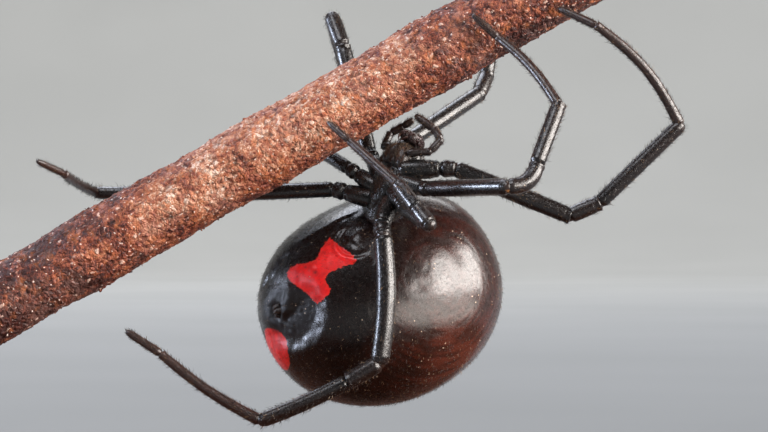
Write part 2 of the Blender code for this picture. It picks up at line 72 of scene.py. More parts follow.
ABDOMEN_HALF = (5.64, 4.78, 4.8)
ABDOMEN_MIDDLE = (-0.12, -3.75, 0.0)
ABDOMEN_TILT = 20.0
ABDOMEN_SWELLS = ((170, 0, 0.12, 24), (118, 0, -0.14, 18), (55, 0, 0.16, 13), (20, 0, -0.08, 16),
                  (-154, 0, -0.09, 12))
SPINNERET_WAY = (-0.89, -0.10, 0.45)
SPOT_WAY = (-0.88, -0.42, 0.25)
SPOT_HALF = (1.3, 1.05)

CHEST_MIDDLE = (0.15, 1.38, 3.6)
CHEST_FORWARD = (0.475, 0.876, -0.08)
CHEST_LEFT = (0.56, -0.231, 0.795)
SHIELD_HALF = (1.8, 1.58, 0.72)
HEAD_HALF = (1.0, 0.78, 0.66)

LENGTHS = {
    1: (1.50, 0.65, 5.45, 1.45, 4.90, 5.75, 1.95),
    2: (1.10, 0.50, 5.35, 1.75, 3.10, 4.60, 1.50),
    3: (1.00, 0.50, 3.60, 1.10, 1.80, 3.30, 1.35),
    4: (1.25, 0.60, 5.60, 1.60, 4.30, 5.30, 1.80),
}
# Widths of the bare skin; the hairs fill the rest of the solids' width on the last two segments
WIDTHS = {
    1: (0.92, 0.78, 0.78, 0.74, 0.68, 0.44, 0.36),
    2: (0.84, 0.74, 0.75, 0.74, 0.69, 0.42, 0.34),
    3: (0.82, 0.70, 0.70, 0.68, 0.62, 0.40, 0.32),
    4: (0.90, 0.80, 0.86, 0.78, 0.70, 0.46, 0.37),
}
ROOTS = {1: (0.95, 0.72), 2: (0.35, 0.88), 3: (-0.25, 0.88), 4: (-0.85, 0.74)}
# How each segment points: turned from the right towards the viewer, and raised, in degrees
POSE = {
    ("left", 1): ((4.5, 1.5), (5, 1), (4.5, -22.5), (3.5, 23.5), (2, 44), (170, 49), (-153, 24.5)),
    ("left", 2): ((33.5, -14.5), (50, -1), (53, 0.5), (-28.5, 33), (-53.5, 56.5),
                  (-137.5, 41.5), (-173, 41.5)),
    ("left", 3): ((67, -29), (82.5, -14), (73, -11.5), (-130, 39.5), (-121.5, 34.5), (-144, 36),
                  (-150, 37.5)),
    ("left", 4): ((108.5, -45), (80, -43.5), (110, -85), (-172.5, -31), (-170, -24),
                  (-174, 33.5), (-178.5, 33)),
    ("right", 1): ((-56.5, 30.5), (-54.5, 30), (-51, 23.5), (-70, 38.5), (-47, 77), (55, 12.5),
                   (30, 6)),
    ("right", 2): ((-112, 36), (-112, 36), (-124, 66), (-118, 52.5), (-70.5, -50.5),
                   (94.5, -34.5), (166, 28)),
    ("right", 3): ((-148.5, 30.5), (-150, 30.5), (-132, 23.5), (-132, 16.5), (-141, -2.5),
                   (134, -22), (113, -15.5)),
    ("right", 4): ((-148, 12), (-151.5, 12.5), (-162.5, -2), (-159.5, 1), (-163.5, 0.5),
                   (100.5, 8.5), (129.5, 18)),
}
# How far a segment bows at its middle, and the way it bows where that is not outwards, away
# from the chest
BOWS = {("left", 1, 5): 0.42, ("left", 2, 3): 0.34, ("left", 2, 5): 0.22, ("left", 4, 2): 0.22,
        ("left", 4, 4): 0.08, ("left", 4, 5): 0.18, ("right", 1, 5): 0.3, ("right", 2, 5): 0.2,
        ("right", 4, 5): 0.15}
BOW_WAYS = {("left", 2, 3): (0.6, -0.8, 0.0), ("left", 4, 2): (1.0, 0.0, 0.0)}
SLIMNESS = {("right", 4): 0.84, ("right", 3): 0.9}

# Palps: their joints after the first, chest first
PALP_JOINTS = {
    "left": ((2.04, 2.84, 4.25), (2.52, 3.36, 4.15), (2.2, 3.88, 3.9), (1.4, 4.46, 3.6)),
    "right": ((0.0, 3.12, 2.4), (0.3, 3.72, 2.15), (0.88, 4.02, 2.35), (1.3, 4.3, 2.7)),
}

TWIG_POINT = (-17.1, -3.87, 3.0)
TWIG_SLOPE = 29.8
TWIG_THICKNESS = 3.34
TWIG_START = -4.5
TWIG_LENGTH = 40.0

# Named sizes of what only the picture needs

# The hourglass on the skin, right and up in millimetres, as the view shows it
HOURGLASS = ((-2.43, -0.95), (-2.17, -1.15), (-1.81, -1.42), (-1.37, -1.73), (-1.21, -2.0),
             (-1.38, -2.14), (-1.81, -2.25), (-2.29, -2.44), (-2.56, -2.66), (-2.61, -2.92),
             (-2.34, -3.23), (-2.43, -3.45), (-2.70, -3.67), (-3.05, -3.87), (-3.27, -3.76),
             (-3.53, -3.45), (-3.89, -3.14), (-4.19, -2.92), (-4.37, -2.7), (-4.36, -2.49),
             (-4.15, -2.25), (-3.89, -2.12), (-3.40, -2.1), (-3.05, -1.94), (-2.92, -1.72),
             (-2.83, -1.46), (-2.65, -1.15))
# The mound on the belly, right and up; the way from the abdomen's middle to its waist; and where
# the waist ends inside it
GENITAL_MOUND = (-1.19, -1.0)
WAIST_WAY = (-0.03, 0.75, 0.67)
WAIST_END = (-0.28, -0.07, 3.28)
# The sunken disc round the spinnerets, right and up, the swelling below it, and the fold between
# belly and rim
DISC_MIDDLE = (-4.36, -4.31)
DISC_REACH = 1.14
DISC_LIP = (-2.6, -5.6)
RIM_FOLD = ((-5.2, -2.6), (-4.82, -1.88), (-3.84, -1.16), (-2.86, -0.58), (-2.19, -0.27))
# The knob in the middle of the mark with a pit and a dark speck beside it, the furrow above the
# mark, and the dent and the middle of the ring-like wisps on the left flank
MARK_KNOB = (-3.19, -2.35)
MARK_PIT = (-3.07, -2.49)
MARK_SPECK = (-3.49, -2.29)
FURROW = ((-2.15, -0.95), (-0.62, -2.0))
FLANK_DENT = (1.5, -3.2)
FLANK_MIDDLE = (2.6, -3.0)

# The camera's distance from the middle of the view and its lens, in millimetres
VIEW_DISTANCE = 150.0
LENS = 154.69

HAIR_SHARE = 1.0
ABDOMEN_HAIRS = 8200
SPINNERET_HAIRS = 46
CHEST_HAIRS = 3600
MOUTH_HAIRS = 600
CRUMB_COUNT = 1500
SKIN_DIVISIONS = 7
CHEST_VOXEL = 0.032
TWIG_RINGS, TWIG_SIDES = ((620, 156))


# Places and directions
def unit(v):
    """Directions made one long."""
    v = np.asarray(v, float)
    return v / np.maximum(np.linalg.norm(v, axis=-1, keepdims=True), 1e-12)


def distance(points, middle):
    """How far each point is from a place."""
    return np.linalg.norm(points - np.asarray(middle, float), axis=1)


def placed(points):
    """Places in the view as places over the base, in metres."""
    p = np.asarray(points, float).reshape(-1, 3)
    return np.column_stack((p[:, 0] + VIEW_X, VIEW_Y - p[:, 2], p[:, 1] + VIEW_Z)) * MM


def aim(turn, rise):
    """A direction in the view: right, up, near."""
    t, r = math.radians(turn), math.radians(rise)
    return np.array((math.cos(r) * math.cos(t), math.sin(r), math.cos(r) * math.sin(t)))


def smooth_step(low, high, value):
    """0 below the low value, 1 past the high one, and soft between; low may be the larger."""
    share = np.clip((np.asarray(value, float) - low) / (high - low), 0.0, 1.0)
    return share * share * (3.0 - 2.0 * share)


def bell(value, middle, spread):
    """1 at the middle value, fading to nothing on both sides."""
    return np.exp(-((np.asarray(value, float) - middle) / spread) ** 2)


FORWARD = unit(CHEST_FORWARD)
LEFT = np.array(CHEST_LEFT)
LEFT = unit(LEFT - FORWARD * LEFT.dot(FORWARD))
UNDER = np.cross(LEFT, FORWARD)
CHEST_AXES = (FORWARD, LEFT, UNDER)


def on_chest(forward, left, under):
    """A place in the view, measured from the middle of the chest."""
    return np.array(CHEST_MIDDLE) + FORWARD * forward + LEFT * left + UNDER * under


def leg_joints(side, pair):
    """The eight joints of a leg, chest first, in the view."""
    forward, out = ROOTS[pair]
    joints = [on_chest(forward, out if side == "left" else -out, 0.0)]
    for length, (turn, rise) in zip(LENGTHS[pair], POSE[(side, pair)]):
        joints.append(joints[-1] + aim(turn, rise) * length)
    return joints


def bow_of(side, pair, index, start, end):
    """How a segment bows at its middle, as a step in the view."""
    way = unit(end - start)
    outwards = (start + end) / 2 - np.array(CHEST_MIDDLE)
    away = np.array(BOW_WAYS.get((side, pair, index), outwards), float)
    return unit(away - way * away.dot(way)) * BOWS.get((side, pair, index), 0.0)


def rough(points, size, seed=0.0, octaves=1):
    """Smooth noise in about -1..1 with bumps of a size in millimetres, at each point."""
    out = np.empty(len(points))
    shift = Vector((seed * 7.13, seed * 3.71, seed * 5.17))
    for index, p in enumerate(points):
        place = Vector((p[0] / size, p[1] / size, p[2] / size)) + shift
        out[index] = noise.fractal(place, 1.0, 2.0, octaves) if octaves > 1 else noise.noise(place)
    return out


# Meshes
def in_scene(name, data):
    """A new object in the scene, from its mesh, light or camera."""
    made = bpy.data.objects.new(name, data)
    bpy.context.scene.collection.objects.link(made)
    return made


class Shape:
    """Points and faces gathered for one mesh, with named numbers kept at each point."""

    def __init__(self, *names):
        """An empty shape, and what the numbers kept at its points are called."""
        self.points = []
        self.faces = []
        self.numbers = {name: [] for name in names}
        self.uv = []
        self.count = 0

    def add(self, points, face_groups, uv=None, **numbers):
        """Adds points with faces that count from the first of them, and their numbers."""
        points = np.asarray(points, float).reshape(-1, 3)
        self.points.append(points)
        for group in face_groups:
            self.faces.append(np.asarray(group, int) + self.count)
        for name, kept in self.numbers.items():
            value = numbers.get(name, 0.0)
            kept.append(np.broadcast_to(np.asarray(value, float), (len(points),)))
        if uv is not None:
            self.uv.append(uv)
        self.count += len(points)


def make_mesh(name, points, face_groups):
    """A smooth mesh, and the point at each of its faces' corners."""
    mesh = bpy.data.meshes.new(name)
    counts = np.concatenate([np.full(len(group), group.shape[1]) for group in face_groups])
    corners = np.concatenate([group.reshape(-1) for group in face_groups]).astype(np.int32)
    starts = np.concatenate(([0], np.cumsum(counts)[:-1])).astype(np.int32)
    mesh.vertices.add(len(points))
    mesh.vertices.foreach_set("co", np.asarray(points, np.float32).ravel())
    mesh.loops.add(len(corners))
    mesh.loops.foreach_set("vertex_index", corners)
    mesh.polygons.add(len(counts))
    mesh.polygons.foreach_set("loop_start", starts)
    mesh.polygons.foreach_set("use_smooth", np.ones(len(counts), bool))
    return mesh, corners


def build(name, shape, finish, slot, *nodes):
    """The piece from its shape: it rides on the one body and stands for the nodes named."""
    points = placed(np.concatenate(shape.points))
    mesh, corners = make_mesh(name, points, shape.faces)
    for key, kept in shape.numbers.items():
        attribute = mesh.attributes.new(key, "FLOAT", "POINT")
        attribute.data.foreach_set("value", np.concatenate(kept).astype(np.float32))
    if shape.uv:
        uv = np.concatenate(shape.uv)
        layer = mesh.uv_layers.new(name="OFBake")
        layer.data.foreach_set("uv", uv[corners].astype(np.float32).ravel())
    mesh.update(calc_edges=True)
    mesh.validate()
    mesh.materials.append(finish)
    piece = in_scene(name, mesh)
    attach(piece, "root")
    if nodes:
        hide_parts(*nodes)
    return piece


def frames_along(path):
    """Directions along a path, and two across it that turn as little as they can."""
    path = np.asarray(path, float)
    along = unit(np.gradient(path, axis=0))
    across = np.empty_like(along)
    start = np.array((0.0, 0.0, 1.0)) if abs(along[0, 2]) < 0.9 else np.array((0.0, 1.0, 0.0))
    across[0] = unit(np.cross(along[0], start))
    for i in range(1, len(path)):
        kept = across[i - 1] - along[i] * across[i - 1].dot(along[i])
        across[i] = unit(kept)
    return along, across, np.cross(along, across)


def ring_faces(rings, sides):
    """Four-sided faces between rings of points that follow one another."""
    i, j = np.meshgrid(np.arange(rings - 1), np.arange(sides), indexing="ij")
    after = (j + 1) % sides
    return np.stack((i * sides + j, i * sides + after, (i + 1) * sides + after,
                     (i + 1) * sides + j), -1).reshape(-1, 4)


def cap_faces(rings, sides):
    """Fans over the first ring and the last, round the two points that come after the rings."""
    j = np.arange(sides)
    after, last = (j + 1) % sides, (rings - 1) * sides
    return np.concatenate((
        np.stack((np.full(sides, rings * sides), after, j), -1),
        np.stack((np.full(sides, rings * sides + 1), last + j, last + after), -1)))


def loft(path, radii, sides):
    """Rings round a path, closed at both ends. Gives points, faces, and the rings for hairs."""
    path = np.asarray(path, float)
    radii = np.asarray(radii, float)
    along, one, two = frames_along(path)
    angles = np.linspace(0.0, math.tau, sides, endpoint=False)
    out = (one[:, None, :] * np.cos(angles)[None, :, None]
           + two[:, None, :] * np.sin(angles)[None, :, None])
    rings = path[:, None, :] + out * radii[:, None, None]
    points = np.concatenate((rings.reshape(-1, 3), path[:1] - along[:1] * radii[0] * 0.2,
                             path[-1:] + along[-1:] * radii[-1] * 0.3))
    faces = [ring_faces(len(path), sides), cap_faces(len(path), sides)]
    return points, faces, (rings, out, along)


def egg(middle, half, axes, rings, sides, form=None):
    """A round body with its half sizes along three directions; form may reshape it."""
    rows = np.linspace(0.0, math.pi, rings + 1)[1:-1]
    angles = np.linspace(0.0, math.tau, sides, endpoint=False)
    a, b = np.meshgrid(rows, angles, indexing="ij")
    along = np.stack((-np.cos(a), np.sin(a) * np.cos(b), np.sin(a) * np.sin(b)), -1).reshape(-1, 3)
    along = np.concatenate((along, ((-1.0, 0.0, 0.0), (1.0, 0.0, 0.0))))
    if form is not None:
        along = form(along)
    points = np.asarray(middle, float) + sum(
        along[:, k:k + 1] * half[k] * np.asarray(axes[k], float) for k in range(3))
    faces = [ring_faces(rings - 1, sides), cap_faces(rings - 1, sides)]
    if np.linalg.det(np.array(axes, float)) < 0:
        faces = [group[:, ::-1] for group in faces]
    return points, faces


def ball(subdivisions):
    """Points and three-sided faces of a ball with a radius of 1."""
    made = bmesh.new()
    bmesh.ops.create_icosphere(made, subdivisions=subdivisions, radius=1.0)
    points = np.array([v.co[:] for v in made.verts])
    faces = np.array([[v.index for v in f.verts] for f in made.faces])
    made.free()
    return points, faces


def on_chart(across, up):
    """Where hairs sit on their chart, from shares of its width and height."""
    return np.column_stack((0.01 + 0.97 * np.clip(across, 0, 1), 0.01 + 0.97 * np.clip(up, 0, 1)))


# A hair starts a little inside the skin, in millimetres. From its middle on it leans by less, and
# there it has this share of its width. On its chart it takes a patch of a few steps this wide.
HAIR_ROOT = 0.012
HAIR_DROOP = 0.55
HAIR_TAPER = 0.72
HAIR_PATCH = 0.0013


def hairs(shape, rng, roots, normals, lie, length, width, lean, uv, **numbers):
    """Thin tapered three-sided hairs. lean is how far each stands off the skin, in degrees, and
    lie the way it lies along the skin; both vary a little."""
    count = len(roots)
    if count == 0:
        return
    normals = unit(normals)
    lie = unit(lie - normals * np.sum(lie * normals, axis=1, keepdims=True))
    turn = rng.normal(0.0, 0.35, count)
    side = np.cross(normals, lie)
    lie = lie * np.cos(turn)[:, None] + side * np.sin(turn)[:, None]
    lean = np.radians(np.clip(lean, 5, 85))[:, None]
    first = normals * np.sin(lean) + lie * np.cos(lean)
    low = lean * HAIR_DROOP
    second = normals * np.sin(low) + lie * np.cos(low)
    side = unit(np.cross(first, normals + lie * 0.01))
    up = np.cross(side, first)
    length = np.asarray(length)[:, None]
    width = np.asarray(width)[:, None] / 2
    foot = roots - normals * HAIR_ROOT
    middle = roots + first * length * 0.5
    tip = middle + second * length * 0.5
    rings = []
    for place, share in ((foot, 1.0), (middle, HAIR_TAPER)):
        for angle in (math.pi / 2, math.pi * 7 / 6, math.pi * 11 / 6):
            rings.append(place + (side * math.cos(angle) + up * math.sin(angle)) * width * share)
    points = np.stack((*rings, tip), axis=1).reshape(-1, 3)
    pattern = []
    for j in range(3):
        k = (j + 1) % 3
        pattern += [(j, k, 3 + k), (j, 3 + k, 3 + j), (3 + j, 3 + k, 6)]
    faces = (np.arange(count)[:, None, None] * 7 + np.array(pattern)[None]).reshape(-1, 3)
    patch = np.array([(0, 0), (1, 0), (2, 0), (0, 1), (1, 1), (2, 1), (1, 2)], float) * HAIR_PATCH
    uv = (np.asarray(uv)[:, None, :] + patch[None]).reshape(-1, 2)
    shape.add(points, [faces], uv, **{k: np.repeat(v, 7) for k, v in numbers.items()})


# Materials
def colour(code):
    """A linear colour from an sRGB one."""
    values = [int(code[k:k + 2], 16) / 255.0 for k in (0, 2, 4)]
    return (*[v / 12.92 if v <= 0.04045 else ((v + 0.055) / 1.055) ** 2.4 for v in values], 1.0)


# Where the sockets that are wanted aren't a node's first ones
SOCKETS = {"Mix": (0, 6, 7)}
OUTPUTS = {"Mix": 2, "TexCoord": "Object", "Attribute": "Fac"}


def add(tree, kind, *values, out=None, **named):
    """Adds a node, with its operation named after its kind, and gives one of its outputs. The
    values go into its sockets in order and the named ones into the socket or setting they name;
    each is a number, a colour or another node's output."""
    kind, _, operation = kind.partition(" ")
    made = tree.nodes.new("ShaderNode" + kind)
    if operation:
        made.operation = operation
    # a mix is of two colours, and a range is a soft step from one number to another
    if kind == "Mix":
        made.data_type = "RGBA"
    if kind == "MapRange":
        made.interpolation_type = "SMOOTHSTEP"
    for key, value in (*zip(SOCKETS.get(kind, range(9)), values), *named.items()):
        if isinstance(key, str) and key not in made.inputs:
            setattr(made, key, value)
        elif isinstance(value, bpy.types.NodeSocket):
            tree.links.new(value, made.inputs[key])
        else:
            made.inputs[key].default_value = value
    if len(made.outputs):
        return made.outputs[out or OUTPUTS.get(kind, 0)]


def start_finish(name, *kept):
    """A new material, what adds its nodes, the place on the surface in millimetres, and the
    numbers kept at each point."""
    material = bpy.data.materials.new(name)
    material.use_nodes = True
    material.node_tree.nodes.clear()
    node = partial(add, material.node_tree)
    place = node("VectorMath MULTIPLY", node("TexCoord"), (1000.0, 1000.0, 1000.0))
    return (material, node, place, *[node("Attribute", attribute_name=key) for key in kept])


def end_finish(material, node, sockets, *bumps):
    """Closes a material with its shader's sockets and with bumps laid over one another; each
    bump is a height from 0 to 1 and its depth in millimetres."""
    under = {}
    for height, depth in bumps:
        under = {"Normal": node("Bump", Height=height, Strength=1.0, Distance=depth * MM, **under)}
    node("OutputMaterial", Surface=node("BsdfPrincipled", **sockets, **under))
    return material


def cuticle():
    """Leg and chest cuticle: polished chitin, near black, brown towards the feet, so it throws
    small bright glints. Hair sockets stipple it and a little pale dust lies on it."""
    material, node, place, tone, soft, ruddy = start_finish(
        "polished_black_chitin", "tone", "soft", "ruddy")
    grain = node("TexNoise", place, Scale=1 / 0.08, Detail=3.0)
    cloud = node("TexNoise", place, Scale=1 / 0.7)
    black = node("Mix", node("MapRange", cloud, 0.35, 0.7), colour("070606"), colour("130d0b"))
    brown = node("Mix", node("MapRange", grain, 0.35, 0.65), colour("2a1610"), colour("502e23"))
    lips = node("Mix", node("MapRange", grain, 0.4, 0.62), colour("120806"), colour("4a2c1b"))
    base = node("Mix", ruddy, node("Mix", tone, black, brown), lips)
    base = node("Mix", soft, base, colour("2c1c15"))
    base = node("Mix", node("MapRange", soft, 0.82, 1.0), base, colour("9c6a3e"))
    spots = node("MapRange", node("TexVoronoi", place, Scale=1 / 0.24), 0.17, 0.09)
    patch = node("MapRange", node("TexNoise", place, Scale=1 / 0.6), 0.54, 0.68)
    dust = node("Math MULTIPLY", spots, patch)
    base = node("Mix", node("Math MULTIPLY", dust, 0.7), base, colour("b7a595"))
    rough_share = node("MapRange", grain, 0.3, 0.7, 0.22, 0.38)
    rough_share = node("Math MULTIPLY_ADD", tone, 0.14, rough_share)
    rough_share = node("Math MULTIPLY_ADD", dust, 0.4, rough_share, use_clamp=True)
    # the hair sockets are drawn about twice as coarse as real ones, so that they show
    sockets = node("MapRange", node("TexVoronoi", place, Scale=1 / 0.075), 0.0, 0.45)
    lumps = node("TexNoise", place, Scale=1 / 0.3)
    return end_finish(material, node, {
        "Base Color": base, "Roughness": rough_share, "IOR": 1.55, "Coat Weight": 0.3,
        "Coat Roughness": 0.16}, (sockets, 0.009), (grain, 0.01), (lumps, 0.014))


def abdomen_finish():
    """Abdomen skin: soft leathery chitin, satin, black below and maroon brown on the flanks,
    with the hourglass and the tail spot in it. A paler maroon painted low on the right flank
    stands in for fill light from below, and painted shade darkens the sunken disc and the pits.
    Its highlights are broad and a little frosted."""
    material, node, place, warm, mark, dark, fold = start_finish(
        "satin_maroon_abdomen_skin", "warm", "mark", "dark", "fold")
    fine = node("TexNoise", place, Scale=1 / 0.05)
    cloud = node("TexNoise", place, Scale=1 / 1.1, Detail=3.0, Roughness=0.6)
    wisps = node("TexNoise", place, Scale=1 / 0.2, Detail=3.0, Roughness=0.6, Distortion=0.4)
    black = node("Mix", node("MapRange", fine, 0.3, 0.75), colour("080403"), colour("180b08"))
    maroon = node("Mix", node("MapRange", fold, 0.1, 0.9), colour("1c0905"), colour("34130b"))
    maroon = node("Mix", node("MapRange", fine, 0.42, 0.62), maroon, colour("140604"))
    # painted light: where warm passes 1, low on the right flank, a paler maroon stands in for fill
    # light from below
    painted_fill_maroon = node("Mix", node("MapRange", fold, 0.2, 0.8), colour("28110c"), colour("3d1b13"))
    maroon = node("Mix", node("MapRange", warm, 1.0, 1.3), maroon, painted_fill_maroon)
    mood = node("Math ADD", warm, node("MapRange", cloud, 0.3, 0.7, -0.22, 0.22), use_clamp=True)
    base = node("Mix", mood, black, maroon)
    # the marks' edge is a little ragged, and a few dark specks lie in them
    frayed = node("TexNoise", place, Scale=1 / 0.13, Detail=3.0)
    ragged = node("Math ADD", mark, node("MapRange", frayed, 0.2, 0.8, -0.05, 0.05))
    inside = node("MapRange", ragged, -0.022, 0.022)
    patchy = node("TexNoise", place, Scale=1 / 0.35, Detail=3.0)
    red = node("Mix", node("MapRange", patchy, 0.3, 0.7), colour("c40303"), colour("ea0b06"))
    specks = node("TexNoise", place, Scale=1 / 0.12)
    red = node("Mix", node("MapRange", specks, 0.64, 0.8), red, colour("6a0404"))
    red = node("Mix", node("MapRange", ragged, 0.12, 0.0), red, colour("d2200f"))
    base = node("Mix", inside, base, red)
    # painted shade: dark darkens the sunken disc, the spinneret pit and the pit in the mark; the
    # speck beside the knob is the skin's own
    base = node("Mix", node("Math MULTIPLY", dark, 0.85), base, colour("0c0706"))
    dots = node("MapRange", node("TexVoronoi", place, Scale=1 / 0.26), 0.15, 0.08)
    patch = node("MapRange", node("TexNoise", place, Scale=1 / 0.9), 0.5, 0.64)
    dust = node("Math MULTIPLY", dots, patch)
    base = node("Mix", node("Math MULTIPLY", dust, 0.8), base, colour("c8b19a"))
    rough_share = node("MapRange", wisps, 0.3, 0.7, 0.2, 0.3)
    rough_share = node("Math ADD", rough_share, node("MapRange", fine, 0.42, 0.62, 0.0, 0.06))
    for share, more, last in ((dust, 0.3, False), (dark, 0.25, False), (inside, 0.12, True)):
        rough_share = node("Math MULTIPLY_ADD", share, more, rough_share, use_clamp=last)
    coat = node("MapRange", warm, 0.1, 0.7, 0.12, 0.48)
    coat = node("Math MULTIPLY", coat, node("MapRange", dark, 0.1, 0.7, 1.0, 0.0))
    # the stipple of hair sockets is drawn about twice as coarse as a real one, so that it shows
    stipple = node("MapRange", node("TexVoronoi", place, Scale=1 / 0.075), 0.0, 0.5)
    return end_finish(material, node, {
        "Base Color": base, "Roughness": rough_share, "IOR": 1.5, "Specular IOR Level": 0.4,
        "Coat Weight": coat, "Coat Roughness": 0.2},
        (stipple, 0.004), (fine, 0.003), (wisps, 0.006), (fold, 0.009))


def hair_finish(name, dark, light):
    """Hairs: dark chitin shafts with a soft sheen and paler ends, red on the marks."""
    material, node, place, pale, mark = start_finish(name, "pale", "mark")
    grain = node("TexNoise", place, Scale=1 / 0.3)
    base = node("Mix", node("MapRange", grain, 0.3, 0.7), colour(dark), colour(light))
    base = node("Mix", pale, base, colour("a0805f"))
    base = node("Mix", node("MapRange", mark, 0.0, 0.05), base, colour("7a0d09"))
    return end_finish(material, node, {
        "Base Color": base, "Roughness": node("MapRange", grain, 0.3, 0.7, 0.32, 0.5)})


def mouth_finish():
    """Mouth parts: thinner chitin, so red brown shows through the black, ribbed and glossy, with
    a pinkish-grey painted highlight streaked along the ribs.
    """
    material, node, place, tone, streak = start_finish("thin_red_brown_chitin", "tone", "streak")
    grain = node("TexNoise", place, Scale=1 / 0.08, Detail=3.0)
    even = node("MapRange", grain, 0.3, 0.7)
    dark = node("Mix", even, colour("0e0807"), colour("20120e"))
    red = node("Mix", even, colour("2e150e"), colour("4c281c"))
    base = node("Mix", tone, dark, red)
    # painted highlight: pinkish-grey streaks along the ribs
    base = node("Mix", node("MapRange", streak, 0.05, 0.3, 0.0, 0.8), base, colour("5e4a4c"))
    return end_finish(material, node, {
        "Base Color": base, "Roughness": node("MapRange", grain, 0.3, 0.7, 0.2, 0.34),
        "IOR": 1.56}, (grain, 0.008), (node("MapRange", streak, -0.3, 0.3), 0.02))


def eye_finish():
    """Eyes: clear wet-looking domes over a dark cup."""
    material, node, place = start_finish("glassy_black_eyes")
    grain = node("TexNoise", place, Scale=1 / 0.06)
    base = node("Mix", node("MapRange", grain, 0.3, 0.7), colour("050404"), colour("1a0f0a"))
    return end_finish(material, node, {
        "Base Color": base, "Roughness": node("MapRange", grain, 0.3, 0.7, 0.05, 0.12),
        "Coat Weight": 1.0, "Coat Roughness": 0.03})


BARK_COLOURS = ((0.0, "3a140d"), (0.2, "6a2e1f"), (0.4, "924c34"), (0.58, "ac6a4c"),
                (0.76, "c28a6c"), (0.9, "d8ac92"), (1.0, "efd2bf"))


def bark_finish(name, crust_depth):
    """Bark: dry crumbly crust of rounded grains about a fifth of a millimetre across, red brown
    with orange, maroon and pale pink ones, dull with a few that glint. The glints are painted
    highlights too, near white on small grains and pale pink on a few larger ones; the cracks
    carry painted shade, and the tone along the twig carries painted light and shade."""
    material, node, place, pale, deep = start_finish(name, "pale", "deep")
    wander = node("TexNoise", place, Scale=3.0, out="Color")
    wander = node("VectorMath MULTIPLY", wander, (0.3, 0.3, 0.3))
    warped = node("VectorMath ADD", place, wander)
    grain = node("TexVoronoi", warped, Scale=1 / 0.21)
    pick = node("SeparateColor", grain.node.outputs["Color"])
    other = pick.node.outputs[1]
    fine = node("TexVoronoi", warped, Scale=1 / 0.1)
    fine_pick = node("SeparateColor", fine.node.outputs["Color"])
    dots = node("TexNoise", place, Scale=1 / 0.05)
    tint = node("Math ADD", node("Math MULTIPLY", pick, 0.42),
                node("Math MULTIPLY", fine_pick, 0.34))
    tint = node("Math ADD", tint, node("MapRange", dots, 0.25, 0.75, 0.0, 0.3))
    wide = node("TexNoise", place, Scale=1 / 1.4, Detail=3.0, Roughness=0.6)
    tint = node("Math ADD", tint, node("MapRange", wide, 0.3, 0.7, -0.18, 0.16))
    # pale carries painted light and shade along the twig: paler in its middle, darker at the ends,
    # along the top and below
    base = node("ValToRGB", node("Math ADD", tint, pale, use_clamp=True))
    stops = base.node.color_ramp.elements
    stops[0].color, stops[1].color = colour(BARK_COLOURS[0][1]), colour(BARK_COLOURS[-1][1])
    for spot, code in BARK_COLOURS[1:-1]:
        stops.new(spot).color = colour(code)
    broad = node("TexNoise", place, Scale=1 / 2.6)
    base = node("Mix", node("MapRange", broad, 0.48, 0.68, 0.0, 0.35), base, colour("8f6a60"))
    rusty = node("TexNoise", place, Scale=1 / 0.6, Detail=3.0, Roughness=0.6)
    rust = node("Math MULTIPLY", node("MapRange", rusty, 0.48, 0.7),
                node("MapRange", other, 0.0, 0.8, 0.3, 1.0))
    # painted highlights: a few small grains near white and a little smoother, and a few larger ones
    # pale pink
    glint = node("Math MULTIPLY", node("MapRange", fine_pick, 0.93, 0.97),
                 node("MapRange", fine, 0.5, 0.3))
    painted_big_glint = node("Math MULTIPLY", node("MapRange", pick, 0.93, 0.96),
                 node("MapRange", grain, 0.55, 0.3))
    # deep darkens the bark's cracks and hollows as painted shade, and gives the crumbs a darker
    # tone
    for share, most, code in ((rust, 0.5, "c4703a"), (deep, 0.85, "2a100c"),
                              (glint, 0.7, "f8e6da"), (painted_big_glint, 0.6, "eccdbb")):
        base = node("Mix", node("Math MULTIPLY", share, most), base, colour(code))
    rough_share = node("Math SUBTRACT", node("MapRange", other, 0.0, 1.0, 0.5, 0.85),
                       node("Math MULTIPLY", glint, 0.3), use_clamp=True)
    height = node("Math ADD", node("Math MULTIPLY", pick, 0.4),
                  node("MapRange", grain, 0.75, 0.1))
    return end_finish(material, node, {"Base Color": base, "Roughness": rough_share},
                      (height, crust_depth), (node("MapRange", fine, 0.7, 0.1), 0.022))


def cut_wood_finish():
    """Sawn twig end: pale sapwood rings round a small pith, dull, with fine pores."""
    material, node, place, ring = start_finish("sawn_sapwood", "ring")
    wobble = node("MapRange", node("TexNoise", place, Scale=1 / 0.5), 0.2, 0.8, -0.08, 0.08)
    ring = node("Math ADD", ring, wobble)
    wave = node("Math SINE", node("Math MULTIPLY", ring, 21.0))
    base = node("Mix", node("MapRange", wave, -0.6, 0.9), colour("b08a63"), colour("845f41"))
    pores = node("MapRange", node("TexVoronoi", place, Scale=1 / 0.09), 0.16, 0.08)
    base = node("Mix", node("Math MULTIPLY", pores, 0.5), base, colour("6e4a31"))
    base = node("Mix", node("MapRange", ring, 0.26, 0.16), base, colour("5a3a26"))
    base = node("Mix", node("MapRange", ring, 1.32, 1.42), base, colour("4a2419"))
    return end_finish(material, node, {
        "Base Color": base, "Roughness": node("MapRange", wave, -1.0, 1.0, 0.6, 0.75)},
        (wave, 0.01), (pores, -0.02))


